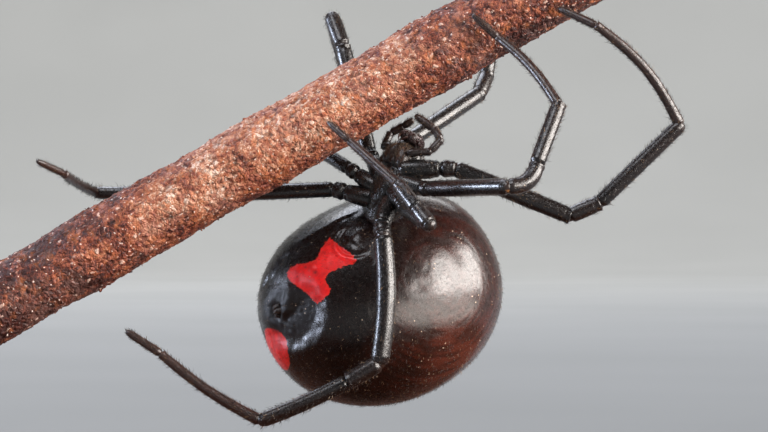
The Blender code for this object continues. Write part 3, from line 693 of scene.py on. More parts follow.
def base_finish():
    """Base: cherry-stained wood under matt oil, so it hardly shines, its grain along the long
    side with short dark flecks."""
    material, node, place = start_finish("cherry_stained_wood")
    stretched = node("VectorMath MULTIPLY", place, (0.05, 1.0, 1.0))
    grain = node("TexNoise", stretched, Scale=1 / 0.55, Detail=4.0, Roughness=0.6, Distortion=0.3)
    wide = node("TexNoise", stretched, Scale=1 / 2.4, Detail=3.0, Distortion=0.6)
    base = node("Mix", node("MapRange", grain, 0.3, 0.7), colour("8d5942"), colour("774530"))
    base = node("Mix", node("MapRange", wide, 0.35, 0.7, 0.0, 0.6), base, colour("9b674d"))
    short = node("VectorMath MULTIPLY", place, (0.55, 3.0, 3.0))
    flecks = node("MapRange", node("TexVoronoi", short, Scale=1 / 0.8), 0.16, 0.08)
    base = node("Mix", node("Math MULTIPLY", flecks, 0.55), base, colour("4d291b"))
    return end_finish(material, node, {
        "Base Color": base, "Roughness": node("MapRange", grain, 0.3, 0.7, 0.55, 0.68),
        "Specular IOR Level": 0.25}, (grain, 0.02), (flecks, -0.012))


def steel_finish():
    """Rod: brushed stainless steel, the brushing along the rod, drawn coarser than real so that
    its soft streaks show."""
    material, node, place = start_finish("brushed_stainless_steel")
    stretched = node("VectorMath MULTIPLY", place, (1.0, 1.0, 0.03))
    brush = node("TexNoise", stretched, Scale=1 / 0.05, Detail=3.0, Roughness=0.6)
    base = node("Mix", node("MapRange", brush, 0.3, 0.7), colour("b9b8b5"), colour("9d9c9a"))
    return end_finish(material, node, {
        "Base Color": base, "Metallic": 1.0,
        "Roughness": node("MapRange", brush, 0.3, 0.7, 0.24, 0.42)}, (brush, 0.006))


def backdrop_finish():
    """Studio paper: plain, pale and fully matt."""
    material, node, place = start_finish("pale_studio_paper")
    cloud = node("TexNoise", place, Scale=1 / 60.0)
    base = node("Mix", node("MapRange", cloud, 0.3, 0.7), colour("b8b8b5"), colour("b4b4b1"))
    return end_finish(material, node, {
        "Base Color": base, "Roughness": 0.9, "Specular IOR Level": 0.0})


CUTICLE = cuticle()
SKIN = abdomen_finish()
LEG_HAIR = hair_finish("dark_brown_hairs", "0e0806", "30211a")
BODY_HAIR = hair_finish("fine_black_hairs", "0e0806", "2c1d17")
MOUTH = mouth_finish()
EYES = eye_finish()
BARK = bark_finish("crumbly_red_bark", 0.05)
CRUMBS = bark_finish("loose_bark_crumbs", 0.02)
CUT_WOOD = cut_wood_finish()
BASE_WOOD = base_finish()
STEEL = steel_finish()
PAPER = backdrop_finish()


# Legs
def segment(start, end, width, ends, bow, past, dome):
    """The path and the radii of one segment: a neck, a soft swelling and a rim at the far end.
    bow is a step in the view, and dome the length over which the end rounds off."""
    way = unit(end - start)
    end = end + way * past
    length = float(np.linalg.norm(end - start))
    # short steps at the neck and the rim, where the shape turns quickly, and longer ones between
    neck = np.arange(0.0, 0.34, 0.034)
    middle = np.linspace(0.36, length - 0.5, max(4, int((length - 0.86) / 0.13)))
    rim = length - 0.46 + np.arange(0.0, 0.46, 0.023)
    far = np.unique(np.clip(np.concatenate((neck, middle, rim, [length])), 0.0, length))
    left, share = length - far, far / length
    body = np.interp(share, (0.0, 0.14, 0.4, 0.82, 1.0),
                     (ends[0], (ends[0] + 1) / 2, 1.0, (1 + ends[1]) / 2, ends[1]))
    body = body * (0.72 + 0.28 * smooth_step(-0.03, 0.18, far))
    body = body * (1.0 - 0.05 * bell(left, 0.26, 0.1) + 0.03 * bell(left, 0.1, 0.05))
    flat = 0.4 if dome < 0.25 else 0.1
    body = body * (flat + (1 - flat) * np.sqrt(1.0 - np.clip((dome - left) / dome, 0, 1) ** 2))
    path = start + way * far[:, None] + bow * np.sin(math.pi * share)[:, None]
    return path, body * width / 2


# For each segment: its hairs' length, how many on a square millimetre, its widths at both ends as
# shares, and how far its hairs stand off the skin in degrees
HAIR_LENGTH = (0.16, 0.15, 0.19, 0.19, 0.22, 0.2, 0.17)
HAIR_DENSITY = (24, 30, 42, 48, 60, 110, 170)
ENDS = ((0.95, 0.8), (1.0, 0.9), (0.92, 0.95), (0.94, 0.96), (0.95, 0.96), (1.12, 0.9), (1.0, 0.84))
LEAN = (34, 36, 34, 40, 38, 32, 30)
# How brown each segment is where it starts and where it ends
TONES = ((0.0, 0.0), (0.0, 0.05), (0.0, 0.08), (0.12, 0.1), (0.0, 0.2), (0.3, 0.55), (0.5, 0.4))


def segment_hairs(coat, rng, path, radii, lofted, hair, before, share):
    """Spreads hairs evenly over a segment's skin. hair is how many there are on a square
    millimetre, their length and how far they stand off; before is the share of the limb's length
    that comes before this segment, and share that of one millimetre."""
    rings, out, along = lofted
    sides = rings.shape[1]
    step = np.linalg.norm(np.diff(path, axis=0), axis=1)
    weight = np.concatenate(([0.0], np.cumsum(step * (radii[1:] + radii[:-1]))))
    count = int(weight[-1] * math.pi * hair[0])
    spot = np.interp(rng.random(count) * weight[-1], weight, np.arange(len(path)))
    spot = np.clip(spot, 0.0, len(path) - 1.001)
    low = spot.astype(int)
    part = (spot - low)[:, None]
    turn = rng.random(count) * sides
    j = turn.astype(int) % sides
    k = (j + 1) % sides
    across = (turn - turn.astype(int))[:, None]
    root = ((rings[low, j] * (1 - across) + rings[low, k] * across) * (1 - part)
            + (rings[low + 1, j] * (1 - across) + rings[low + 1, k] * across) * part)
    normal = out[low, j] * (1 - across) + out[low, k] * across
    long_one = rng.random(count) < 0.1
    size = hair[1] * rng.uniform(0.6, 1.15, count) * np.where(long_one, 1.35, 1.0)
    lean = rng.normal(hair[2], 9.0, count) + np.where(long_one, 26.0, 0.0)
    thick = rng.uniform(0.010, 0.016, count) * np.where(long_one, 1.3, 1.0)
    place = before + distance(path[low], path[0]) * share
    hairs(coat, rng, root, normal, along[low], size, thick, lean, on_chart(place, turn / sides),
          pale=(rng.random(count) < 0.12) * rng.uniform(0.3, 0.9, count),
          mark=np.full(count, -1.0))


def limb(skin, coat, rng, joints, widths, bows, tones, hair, sides=28, ends=ENDS, amber=()):
    """Segments, the soft skin between them and their hairs, added to a skin and a coat. amber
    names the joints whose soft skin shows amber."""
    steps = np.diff(np.array(joints), axis=0)
    ways = unit(steps)
    lengths = np.linalg.norm(steps, axis=1)
    last = len(ways) - 1
    for index, width in enumerate(widths):
        start, end = np.array(joints[index]), np.array(joints[index + 1])
        # a bent joint shows a rounder end, which reaches farther past the joint
        bend, past, dome = 0.0, 0.02, 0.07
        if index < last:
            bend = math.degrees(math.acos(np.clip(ways[index].dot(ways[index + 1]), -1, 1)))
            past = min(0.3, bend / 90.0 * 0.28) * width
        if bend > 55:
            dome = width * 0.52
        elif last == 6 and index < 2:
            dome = 0.2
        path, radii = segment(start, end, width, ends[index], bows[index], past, dome)
        if index == last:
            radii = radii * (0.66 + 0.34 * smooth_step(0.0, 0.3, distance(path, path[-1])))
        points, faces, (rings, out, along) = loft(path, radii, sides)
        uneven = rough(rings.reshape(-1, 3)[::sides], 0.8, index + 3)
        rings = rings + out * (uneven * 0.012)[:, None, None]
        points[:len(rings) * sides] = rings.reshape(-1, 3)
        tone = np.interp(np.linspace(0, 1, len(path)), (0, 1), tones[index])
        skin.add(points, faces, tone=np.concatenate((np.repeat(tone, sides), tones[index])))
        if index < last:
            joint = egg(end, (widths[index + 1] * 0.36,) * 3, np.eye(3), 10, 16)
            shown = smooth_step(-0.02, -0.16, joint[0][:, 1] - end[1]) if index in amber else 0.0
            skin.add(*joint, tone=0.2, soft=0.5 + 0.5 * shown)
        segment_hairs(coat, rng, path, radii, (rings, out, along),
                      [values[index] for values in hair],
                      lengths[:index].sum() / lengths.sum(), 1.0 / lengths.sum())


def claws(shape, tip, way, normal, size):
    """Two curved claws and a small middle one at the end of a leg."""
    side = unit(np.cross(way, normal))
    for out, long, bent in ((0.33, 1.0, 0.55), (-0.33, 1.0, 0.55), (0.0, 0.55, 0.8)):
        share = np.linspace(0.0, 1.0, 9)[:, None]
        path = (tip + way * size * (share * long - 0.25) + side * out * size * share ** 0.7
                - normal * bent * size * share ** 2)
        radii = size * 0.13 * (1.0 - share[:, 0]) ** 0.8 + 0.002
        shape.add(*loft(path, radii, 8)[:2], tone=0.15)


# How far inside the chest a leg's skin starts, and how long its claws and a palp's are
LEG_INSET = 0.35
LEG_CLAW = 0.17
PALP_CLAW = 0.07
# The claws of all the legs and palps are one piece
CLAWS = Shape("tone")


def build_leg(side, pair):
    """A leg's one skin, its hairs and its claws."""
    joints = leg_joints(side, pair)
    inner = joints[0] - unit(joints[1] - joints[0]) * LEG_INSET
    slim = SLIMNESS.get((side, pair), 1.0)
    widths = [w * (slim if index > 1 else 1.0) for index, w in enumerate(WIDTHS[pair])]
    bows = [bow_of(side, pair, index, joints[index], joints[index + 1]) for index in range(7)]
    skin, coat = Shape("tone", "soft"), Shape("pale", "mark")
    rng = np.random.default_rng(100 + pair * 2 + (side == "left"))
    density = [d * HAIR_SHARE for d in HAIR_DENSITY]
    limb(skin, coat, rng, [inner] + joints[1:], widths, bows, TONES, (density, HAIR_LENGTH, LEAN),
         amber=(2,) if (side, pair) == ("left", 2) else ())
    label = "leg_%s_%d_" % (side, pair)
    build(label + "skin", skin, CUTICLE, "black_cuticle",
          label + "femur", label + "tibia", label + "tarsus")
    build(label + "hairs", coat, LEG_HAIR, "black_cuticle")
    way = unit(joints[7] - joints[6])
    toward = np.array(CHEST_MIDDLE) - joints[7]
    normal = unit(-(toward - way * toward.dot(way)))
    claws(CLAWS, joints[7] + way * 0.02, way, normal, LEG_CLAW)


for leg_side in ("left", "right"):
    for leg_pair in (1, 2, 3, 4):
        build_leg(leg_side, leg_pair)


# Abdomen
TILT = math.radians(ABDOMEN_TILT)
ABDOMEN_AXES = np.array(((math.cos(TILT), math.sin(TILT), 0.0),
                         (-math.sin(TILT), math.cos(TILT), 0.0), (0.0, 0.0, 1.0)))


def abdomen_surface(ways):
    """Places on the abdomen's plain skin in directions from its middle."""
    ways = unit(ways)
    reach = 1.0 / np.sqrt(np.sum((ways @ ABDOMEN_AXES.T / ABDOMEN_HALF) ** 2, axis=-1))
    for turn, lean, height, spread in ABDOMEN_SWELLS:
        t, n = math.radians(turn), math.radians(lean)
        top = np.array((math.cos(t) * math.cos(n), math.sin(t) * math.cos(n), math.sin(n)))
        angle = np.degrees(np.arccos(np.clip(ways @ top, -1, 1)))
        reach = reach + height * np.exp(-0.5 * (angle / spread) ** 2)
    return np.array(ABDOMEN_MIDDLE) + ways * reach[..., None]


def near_way(right, up):
    """The direction from the abdomen's middle to the near skin at a place in the view."""
    flat = np.array((right, up, 0.0)) - np.array(ABDOMEN_MIDDLE)
    share = sum((flat @ ABDOMEN_AXES[k] / ABDOMEN_HALF[k]) ** 2 for k in (0, 1))
    flat[2] = ABDOMEN_HALF[2] * math.sqrt(max(0.0, 1.0 - share))
    return unit(flat)


def line_distance(places, first, second):
    """How far above a short line each place is; below it is negative, and beyond its ends it is
    as far as the end."""
    edge = np.subtract(second, first)
    share = np.clip((places - first) @ edge / edge.dot(edge), 0, 1)
    off = places - first - share[:, None] * edge
    side = np.sign(edge[0] * off[:, 1] - edge[1] * off[:, 0])
    return side * np.linalg.norm(off, axis=1)


def outline_distance(places, outline):
    """How far inside an outline each place is; outside it is negative."""
    outline = np.asarray(outline, float)
    best = np.full(len(places), 1e9)
    inside = np.zeros(len(places), bool)
    for a, b in zip(outline, np.roll(outline, -1, axis=0)):
        best = np.minimum(best, np.abs(line_distance(places, a, b)))
        crosses = (a[1] > places[:, 1]) != (b[1] > places[:, 1])
        run, rise = b - a
        rise = rise if abs(rise) > 1e-9 else 1e-9
        inside ^= crosses & (places[:, 0] < a[0] + (places[:, 1] - a[1]) / rise * run)
    return np.where(inside, best, -best)


SPINNERET = abdomen_surface(SPINNERET_WAY)
WAIST = abdomen_surface(WAIST_WAY)
LONG_WAY = unit(WAIST - SPINNERET)
BELLY = near_way(-2.8, -2.3)
BELLY = unit(BELLY - LONG_WAY * BELLY.dot(LONG_WAY))
FLANK = np.cross(LONG_WAY, BELLY)


def spot_distance(points):
    """How far inside the tail spot each place is; outside it is negative."""
    way = unit(SPOT_WAY)
    across = unit(np.array((0.0, 0.0, 1.0)) - way * way[2])
    off = points - abdomen_surface(way)
    reach = 1.0 - np.hypot(off @ across / SPOT_HALF[0], off @ np.cross(way, across) / SPOT_HALF[1])
    return np.where(off @ way > -1.6, reach * SPOT_HALF[1], -2.0)


def fold_distance(places):
    """How far each place lies on the belly side of the fold along the rim."""
    best = np.full(len(places), 1e9)
    for a, b in zip(RIM_FOLD, RIM_FOLD[1:]):
        reach = -line_distance(places, a, b)
        best = np.where(np.abs(reach) < np.abs(best), reach, best)
    return best


def disc_relief(plain, disc, fine, facing):
    """The disc round the spinnerets lies low behind a groove, and its floor is wrinkled."""
    flat = plain[:, :2]
    lower_right = unit(flat - DISC_MIDDLE) @ unit((0.8, -0.6))
    relief = (-0.26 * smooth_step(DISC_REACH + 0.88, DISC_REACH - 0.04, disc) * facing
              * (0.1 + 0.9 * smooth_step(-0.7, 0.3, lower_right)))
    relief += 0.12 * bell(distance(flat, DISC_LIP), 0.0, 1.25) * facing
    relief += 0.05 * fine * smooth_step(DISC_REACH, DISC_REACH - 0.25, disc) * facing
    off = distance(plain, SPINNERET)
    return relief + 0.02 * bell(off + 0.2 * fine, 0.6, 0.14) - 0.32 * bell(off, 0.0, 0.42)


def belly_relief(plain, wave):
    """The mound at the genital opening, with its furrow and lip on the side of the spinnerets,
    the hollow at the waist, the book lungs beside it, and the dimples on the back."""
    from_mound = plain - abdomen_surface(near_way(*GENITAL_MOUND))
    off = np.linalg.norm(from_mound, axis=1)
    back = unit(from_mound) @ unit(SPINNERET - WAIST)
    relief = 0.17 * bell(off, 0.0, 0.55)
    relief -= 0.09 * bell(off + wave * 0.06, 0.86, 0.09) * smooth_step(-0.2, 0.5, back)
    relief += 0.03 * bell(off + wave * 0.08, 1.06, 0.1) * smooth_step(-0.1, 0.5, back)
    off = distance(plain, WAIST)
    relief -= 0.16 * bell(off, 0.0, 0.6)
    relief += 0.035 * wave * smooth_step(2.2, 0.8, off)
    for across in (1, -1):
        lung = abdomen_surface(WAIST - ABDOMEN_MIDDLE - LONG_WAY * 1.5 + FLANK * across * 1.35
                               + BELLY * 1.3)
        relief += 0.07 * bell(distance(plain, lung), 0.0, 0.7)
        for along in (1.3, -0.6):
            off = distance(plain, abdomen_surface(LONG_WAY * along + FLANK * across - BELLY * 4.0))
            relief += 0.02 * bell(off, 0.33, 0.12) - 0.06 * bell(off, 0.0, 0.17)
    return relief


def build_abdomen_hairs(ways, relief, mark):
    """Short fine hairs that lie towards the spinnerets, and take the colour they stand on."""
    rng = np.random.default_rng(7)
    pick = rng.choice(len(ways), ABDOMEN_HAIRS, replace=False)
    way = unit(ways[pick] + rng.normal(0.0, 0.05, (len(pick), 3)) * 0.2)
    root = abdomen_surface(way) + way * relief[pick][:, None]
    normal = unit((way @ ABDOMEN_AXES.T / np.array(ABDOMEN_HALF) ** 2) @ ABDOMEN_AXES)
    keep = distance(root, SPINNERET) > 0.5
    root, normal, way, pick = root[keep], normal[keep], way[keep], pick[keep]
    count = len(root)
    lie = unit(SPINNERET - WAIST) + rng.normal(0, 0.15, (count, 3))
    turn = np.arctan2(way @ FLANK, way @ BELLY) / math.tau + 0.5
    rise = np.arccos(np.clip(way @ LONG_WAY, -1, 1)) / math.pi
    coat = Shape("pale", "mark")
    hairs(coat, rng, root, normal, lie, rng.uniform(0.09, 0.2, count),
          rng.uniform(0.009, 0.014, count), rng.normal(46, 12, count), on_chart(turn, rise),
          pale=(rng.random(count) < 0.15) * rng.uniform(0.3, 0.9, count), mark=mark[pick])
    build("abdomen_hairs", coat, BODY_HAIR, "abdomen_skin")


def build_abdomen():
    """The abdomen's one skin with its folds, marks and tones, and its short fine hairs."""
    ways, faces = ball(SKIN_DIVISIONS)
    ways = unit(ways)
    plain = abdomen_surface(ways)
    flat = plain[:, :2]
    mark = np.where(plain[:, 2] > 0.0, outline_distance(flat, HOURGLASS), -2.0)
    mark = np.maximum(mark, spot_distance(plain))

    wave = rough(plain, 0.45, 2)
    fine = rough(plain, 0.16, 8, 2)
    facing = smooth_step(-0.4, 0.6, plain[:, 2])
    disc = distance(flat, DISC_MIDDLE) + 0.09 * wave
    relief = disc_relief(plain, disc, fine, facing) + belly_relief(plain, wave)
    # the fold between the belly and the rim, and the knob and the pit in the middle of the mark
    inside = fold_distance(flat)
    relief -= (0.07 * smooth_step(0.0, 0.22, inside + 0.06 * wave)
               * smooth_step(1.3, 0.4, inside) * facing)
    pit = bell(distance(flat, MARK_PIT), 0.0, 0.07) * facing
    relief += 0.05 * bell(distance(flat, MARK_KNOB), 0.0, 0.13) * facing - 0.05 * pit
    # furrows beside the mark, a dent in the flank, and wisps in rings round the flank's middle
    furrow = line_distance(flat, *FURROW)
    relief += (0.035 * bell(furrow, 0.02, 0.07) - 0.04 * bell(furrow, 0.16, 0.07)
               + 0.025 * bell(furrow, 0.3, 0.08)) * facing * (0.6 + wave)
    dent = np.hypot(flat[:, 0] - FLANK_DENT[0], (flat[:, 1] - FLANK_DENT[1]) * 1.3)
    relief -= 0.035 * bell(dent + 0.15 * wave, 0.0, 0.32) * facing
    middle = abdomen_surface(near_way(*FLANK_MIDDLE))
    turn = np.arctan2(plain[:, 1] - middle[1], plain[:, 0] - middle[0])
    rings = rough(np.column_stack((distance(plain, middle), 0.7 * np.cos(turn),
                                   0.7 * np.sin(turn))), 0.26, 6, 3)
    fold = np.clip(0.5 + rings, 0.0, 1.0)
    relief += 0.0025 * rings + 0.005 * rough(plain, 1.1, 5) + 0.001 * wave
    points = plain + ways * relief[:, None]

    warm = smooth_step(-0.35, 0.6, ways @ unit((0.9, -0.15, -0.1)))
    # past 1 low on the right flank, where a paler maroon is painted as fill light from below
    warm *= 1.0 + 0.3 * smooth_step(0.0, 0.95, ways @ unit((0.12, -0.9, 0.3)))
    # painted shade: the sunken disc's floor, the spinneret pit and the pit in the mark are
    # darkened, with the skin's own dark speck
    floor = smooth_step(DISC_REACH + 0.08, DISC_REACH - 0.1, disc) * (0.8 + 0.4 * fine)
    speck = bell(distance(flat, MARK_SPECK), 0.0, 0.05)
    dark = bell(distance(plain, SPINNERET), 0.0, 0.5) + (floor + speck) * facing + pit
    skin = Shape("warm", "mark", "dark", "fold")
    skin.add(points, [faces], warm=warm, mark=mark, dark=np.clip(dark, 0, 1), fold=fold)
    build("abdomen_skin", skin, SKIN, "abdomen_skin",
          "abdomen", "abdomen_hourglass", "abdomen_tail_spot")
    build_abdomen_hairs(ways, relief, mark)


build_abdomen()


# The spinnerets, pair by pair: how far forward and out each one sits, its width and its length
SPINNERET_PAIRS = ((0.2, 0.19, 0.3, 0.5), (-0.18, 0.17, 0.25, 0.42), (0.0, 0.07, 0.13, 0.3))
# A spinneret's outline with its joint: shares of its length, and of its width there
SPINNERET_ALONG = np.array((0, 0.12, 0.3, 0.5, 0.62, 0.66, 0.72, 0.84, 0.94, 1.0))
SPINNERET_WIDE = np.array((1, 1.04, 1.05, 1.0, 0.95, 0.78, 0.8, 0.72, 0.5, 0.3))
# The small cone before them and the tubercle behind: how far forward, width and length
SPINNERET_CONES = ((0.42, 0.13, 0.3), (-0.42, 0.2, 0.34))


def build_spinnerets():
    """Three pairs of spinnerets in the pit, with the small cone before them and the tubercle
    behind."""
    shape = Shape("tone", "soft")
    coat = Shape("pale", "mark")
    rng = np.random.default_rng(31)
    way = unit(SPINNERET_WAY)
    ahead = unit(LONG_WAY - way * LONG_WAY.dot(way))
    side = np.cross(way, ahead)
    sides, count = 20, SPINNERET_HAIRS
    each = [(*pair, sign) for pair in SPINNERET_PAIRS for sign in (1, -1)]
    for index, (forward, out, width, length, sign) in enumerate(each):
        foot = SPINNERET + ahead * forward + side * out * sign - way * 0.5
        lean = unit(way - ahead * forward * 0.9 - side * out * sign * 1.1)
        points, faces, (rings, out_ways, along) = loft(
            foot + lean * (SPINNERET_ALONG * length)[:, None], SPINNERET_WIDE * width / 2, sides)
        shape.add(points, faces, tone=0.35, soft=0.1)
        low = rng.integers(3, 9, count)
        turn = rng.integers(0, sides, count)
        hairs(coat, rng, rings[low, turn], out_ways[low, turn], along[low],
              rng.uniform(0.06, 0.13, count), np.full(count, 0.009), rng.normal(30, 8, count),
              np.column_stack((0.01 + (index + turn / sides) * 0.16, 0.01 + low * 0.1)),
              pale=np.full(count, 0.2), mark=np.full(count, -1.0))
    share = np.linspace(0, 1, 8)
    for forward, width, length in SPINNERET_CONES:
        foot = SPINNERET + ahead * forward - way * 0.44
        shape.add(*loft(foot + way * (share * length)[:, None],
                        width / 2 * np.sqrt(1.02 - share ** 2), 16)[:2], tone=0.5, soft=0.2)
    build("spinneret_cones", shape, CUTICLE, "black_cuticle", "spinnerets")
    build("spinneret_hairs", coat, BODY_HAIR, "black_cuticle")


build_spinnerets()


# Chest and head
def kept_at(items, key, kind, each=1):
    """The numbers that a mesh keeps at its points, corners or faces."""
    values = np.empty(len(items) * each, kind)
    items.foreach_get(key, values)
    return values if each == 1 else values.reshape(-1, each).astype(float)


def joined_skin(shape, voxel, smoothing):
    """One closed skin round several shapes: points, normals and faces, in the view."""
    mesh, _ = make_mesh("joined", np.concatenate(shape.points), shape.faces)
    mesh.update(calc_edges=True)
    piece = in_scene("joined", mesh)
    remesh = piece.modifiers.new("one_skin", "REMESH")
    remesh.mode = "VOXEL"
    remesh.voxel_size = voxel
    soften = piece.modifiers.new("soften", "SMOOTH")
    soften.factor = 0.5
    soften.iterations = smoothing
    bpy.context.view_layer.update()
    graph = bpy.context.evaluated_depsgraph_get()
    made = bpy.data.meshes.new_from_object(piece.evaluated_get(graph))
    points = kept_at(made.vertices, "co", np.float32, 3)
    normals = kept_at(made.vertices, "normal", np.float32, 3)
    corners = kept_at(made.loops, "vertex_index", np.int32)
    totals = kept_at(made.polygons, "loop_total", np.int32)
    bpy.data.objects.remove(piece)
    bpy.data.meshes.remove(mesh)
    bpy.data.meshes.remove(made)
    starts = np.concatenate(([0], np.cumsum(totals)[:-1]))
    groups = [corners[starts[totals == n][:, None] + np.arange(n)] for n in np.unique(totals)]
    return points, normals, groups


# The eyes: how far forward, out to the side and up the back each pair sits, and its width
EYE_PLACES = ((2.08, 0.16, 0.52, 0.17), (1.86, 0.2, 0.78, 0.17), (1.98, 0.44, 0.5, 0.16),
              (1.8, 0.5, 0.66, 0.16))


def shield_form(a):
    """The back shield narrows towards the head and is flatter below."""
    deep = np.where(a[:, 2] < 0, a[:, 2], a[:, 2] * 0.75)
    return np.column_stack((a[:, 0], a[:, 1] * (1.0 - 0.16 * np.maximum(a[:, 0], 0.0)), deep))


def plate_form(a):
    """The breast plate tapers towards the waist."""
    taper = 1.0 - 0.35 * np.maximum(-a[:, 0], 0.0) - 0.05 * a[:, 0]
    return np.column_stack((a[:, 0], a[:, 1] * taper, a[:, 2]))


# The chest's round bodies: shield, head, eye mound, breast plate and lip, each with its place
# forward, left and under, its half sizes, its rings and sides, and its form
CHEST_BODIES = (((0.0, 0.0, -0.28), SHIELD_HALF, 40, 60, shield_form),
                ((1.2, 0.0, -0.3), HEAD_HALF, 30, 40, None),
                ((1.62, 0.0, -0.62), (0.5, 0.6, 0.3), 20, 30, None),
                ((-0.1, 0.0, 0.2), (1.02, 0.72, 0.3), 24, 36, plate_form),
                ((1.08, 0.0, 0.3), (0.29, 0.27, 0.22), 16, 24, None))


def build_chest_hairs(points, normals, forward, left, under, mouth):
    """Short hairs all over, and more and longer ones round the mouth."""
    rng = np.random.default_rng(17)
    pick = rng.choice(len(points), min(len(points), CHEST_HAIRS), replace=False)
    lips = np.flatnonzero(mouth > 0.6)
    more = rng.choice(lips, min(len(lips), MOUTH_HAIRS), replace=False)
    pick = np.concatenate((pick, more))
    count = len(pick)
    lie = FORWARD + rng.normal(0, 0.4, (count, 3))
    # the back's hairs take the right half of the chart, and those below the left half
    half = np.where(under[pick] > -0.2, 0.0, 0.5)
    uv = np.column_stack((half + 0.01 + 0.47 * np.clip((forward[pick] + 2.3) / 4.6, 0, 1),
                          0.01 + 0.97 * np.clip((left[pick] + 1.8) / 3.6, 0, 1)))
    hairy = mouth[pick]
    coat = Shape("pale", "mark")
    hairs(coat, rng, points[pick], normals[pick], lie,
          rng.uniform(0.08, 0.17, count) * (1 + hairy * 0.4),
          rng.uniform(0.009, 0.014, count), rng.normal(38, 12, count) + hairy * 14, uv,
          pale=(rng.random(count) < 0.1 + 0.25 * hairy) * rng.uniform(0.2, 0.7, count),
          mark=np.full(count, -1.0))
    build("chest_hairs", coat, BODY_HAIR, "black_cuticle")


def chest_solids():
    """Shield, head with the eye mound, breast plate, lip, mouth plates, waist and eye rims."""
    shape = Shape()
    for place, half, rings, sides, form in CHEST_BODIES:
        shape.add(*egg(on_chest(*place), half, CHEST_AXES, rings, sides, form))
    for side in (1, -1):
        inward = unit(FORWARD * 0.93 - LEFT * side * 0.36)
        across = unit(np.cross(UNDER, inward))
        shape.add(*egg(on_chest(1.38, side * 0.4, 0.28), (0.6, 0.33, 0.33),
                       (inward, across, UNDER), 20, 28))
    share = np.linspace(0, 1, 20)[:, None]
    path = on_chest(-0.9, 0.0, 0.0) * (1 - share) + np.array(WAIST_END) * share
    shape.add(*loft(path, np.full(20, 0.33), 24)[:2])
    for forward, out, dorsal, size in EYE_PLACES:
        for side in (1, -1):
            shape.add(*egg(on_chest(forward, out * side, -dorsal) - FORWARD * 0.03,
                           (size * 0.62,) * 3, CHEST_AXES, 12, 16))
    return shape


def build_chest():
    """The chest's and head's one skin, with its pit, grooves and tones, and its hairs."""
    points, normals, groups = joined_skin(chest_solids(), CHEST_VOXEL, 5)
    off = points - np.array(CHEST_MIDDLE)
    forward, left, under = off @ FORWARD, off @ LEFT, off @ UNDER
    back = smooth_step(-0.35, -0.55, under)
    # the pit in the middle of the back, and the grooves that run out from it
    reach = np.hypot(forward + 0.35, left * 0.9)
    around = np.arctan2(left, forward + 0.35)
    relief = -0.13 * bell(reach, 0.0, 0.22) * back
    relief -= 0.03 * (np.cos(around * 8.0) * 0.5 + 0.5) ** 4 * bell(reach, 0.85, 0.5) * back
    relief += 0.012 * rough(points, 0.22, 4, 3)
    # the furrow round the breast plate
    rim = bell(np.hypot(forward + 0.1, left / 0.7), 0.93, 0.06)
    relief -= 0.03 * rim * smooth_step(0.1, 0.3, under)
    points = points + normals * relief[:, None]
    mouth = smooth_step(0.9, 1.2, forward) * smooth_step(-0.1, 0.15, under)
    near_waist = smooth_step(-1.45, -1.75, forward)
    lips = smooth_step(1.05, 1.25, forward) * smooth_step(0.3, 0.45, under)
    skin = Shape("tone", "soft", "ruddy")
    skin.add(points, groups, tone=np.clip(mouth * 0.3 + near_waist * 0.5, 0, 1),
             soft=near_waist * 0.3, ruddy=lips * 0.8)
    build("chest_skin", skin, CUTICLE, "black_cuticle", "cephalothorax")
    build_chest_hairs(points, normals, forward, left, under, mouth)


build_chest()


def build_eyes():
    """Eight domes that stand out of the head."""
    shape = Shape()
    for forward, out, dorsal, size in EYE_PLACES:
        for side in (1, -1):
            spot = on_chest(forward + 0.035, out * side, -dorsal)
            shape.add(*egg(spot, (size * 0.5,) * 3, CHEST_AXES, 20, 28))
    build("eyes", shape, EYES, "black_cuticle")


# The jaws' middle line, forward, out and under, and their widths along it
JAW_LINE = ((2.02, 0.25, -0.44), (2.26, 0.28, -0.26), (2.37, 0.29, 0.0), (2.36, 0.28, 0.26),
            (2.28, 0.25, 0.46))
JAW_WIDTHS = (0.4, 0.54, 0.58, 0.5, 0.34)


def build_jaws():
    """Each jaw is a stout tapered segment with a curved fang folded under its end."""
    for side, sign in (("left", 1), ("right", -1)):
        shape = Shape("tone", "streak")
        spots = np.array([on_chest(forward, out * sign, under) for forward, out, under in JAW_LINE])
        share = np.linspace(0, 4, 40)
        path = np.column_stack([np.interp(share, range(5), spots[:, k]) for k in range(3)])
        for _ in range(6):
            path[1:-1] = (path[:-2] + path[1:-1] * 2 + path[2:]) / 4
        radii = np.interp(share, range(5), JAW_WIDTHS) / 2
        radii = radii * (0.35 + 0.65 * np.sqrt(np.clip((4 - share) / 0.35, 0, 1)))
        points, faces, _ = loft(path, radii, 84)
        # ribs along each jaw; their streaks also carry a painted pinkish-grey highlight
        turn = np.tile(np.linspace(0, math.tau, 84, endpoint=False), len(path))
        long = np.repeat(np.arange(len(path)) * 0.02, 84)
        streak = rough(np.column_stack((np.cos(turn), np.sin(turn), long)), 0.16, 3, 2)
        shape.add(points, faces, tone=0.25, streak=np.concatenate((streak, (0, 0))))
        turn = np.linspace(0, 1, 22)[:, None]
        path = (on_chest(2.26, 0.3 * sign, 0.5) - FORWARD * 0.36 * turn - LEFT * sign * 0.3 * turn
                + UNDER * 0.1 * np.sin(turn * 2.6))
        shape.add(*loft(path, 0.055 * (1 - turn[:, 0]) ** 0.75 + 0.004, 14)[:2], tone=0.7)
        build("jaw_" + side, shape, MOUTH, "black_cuticle", "chelicera_" + side)


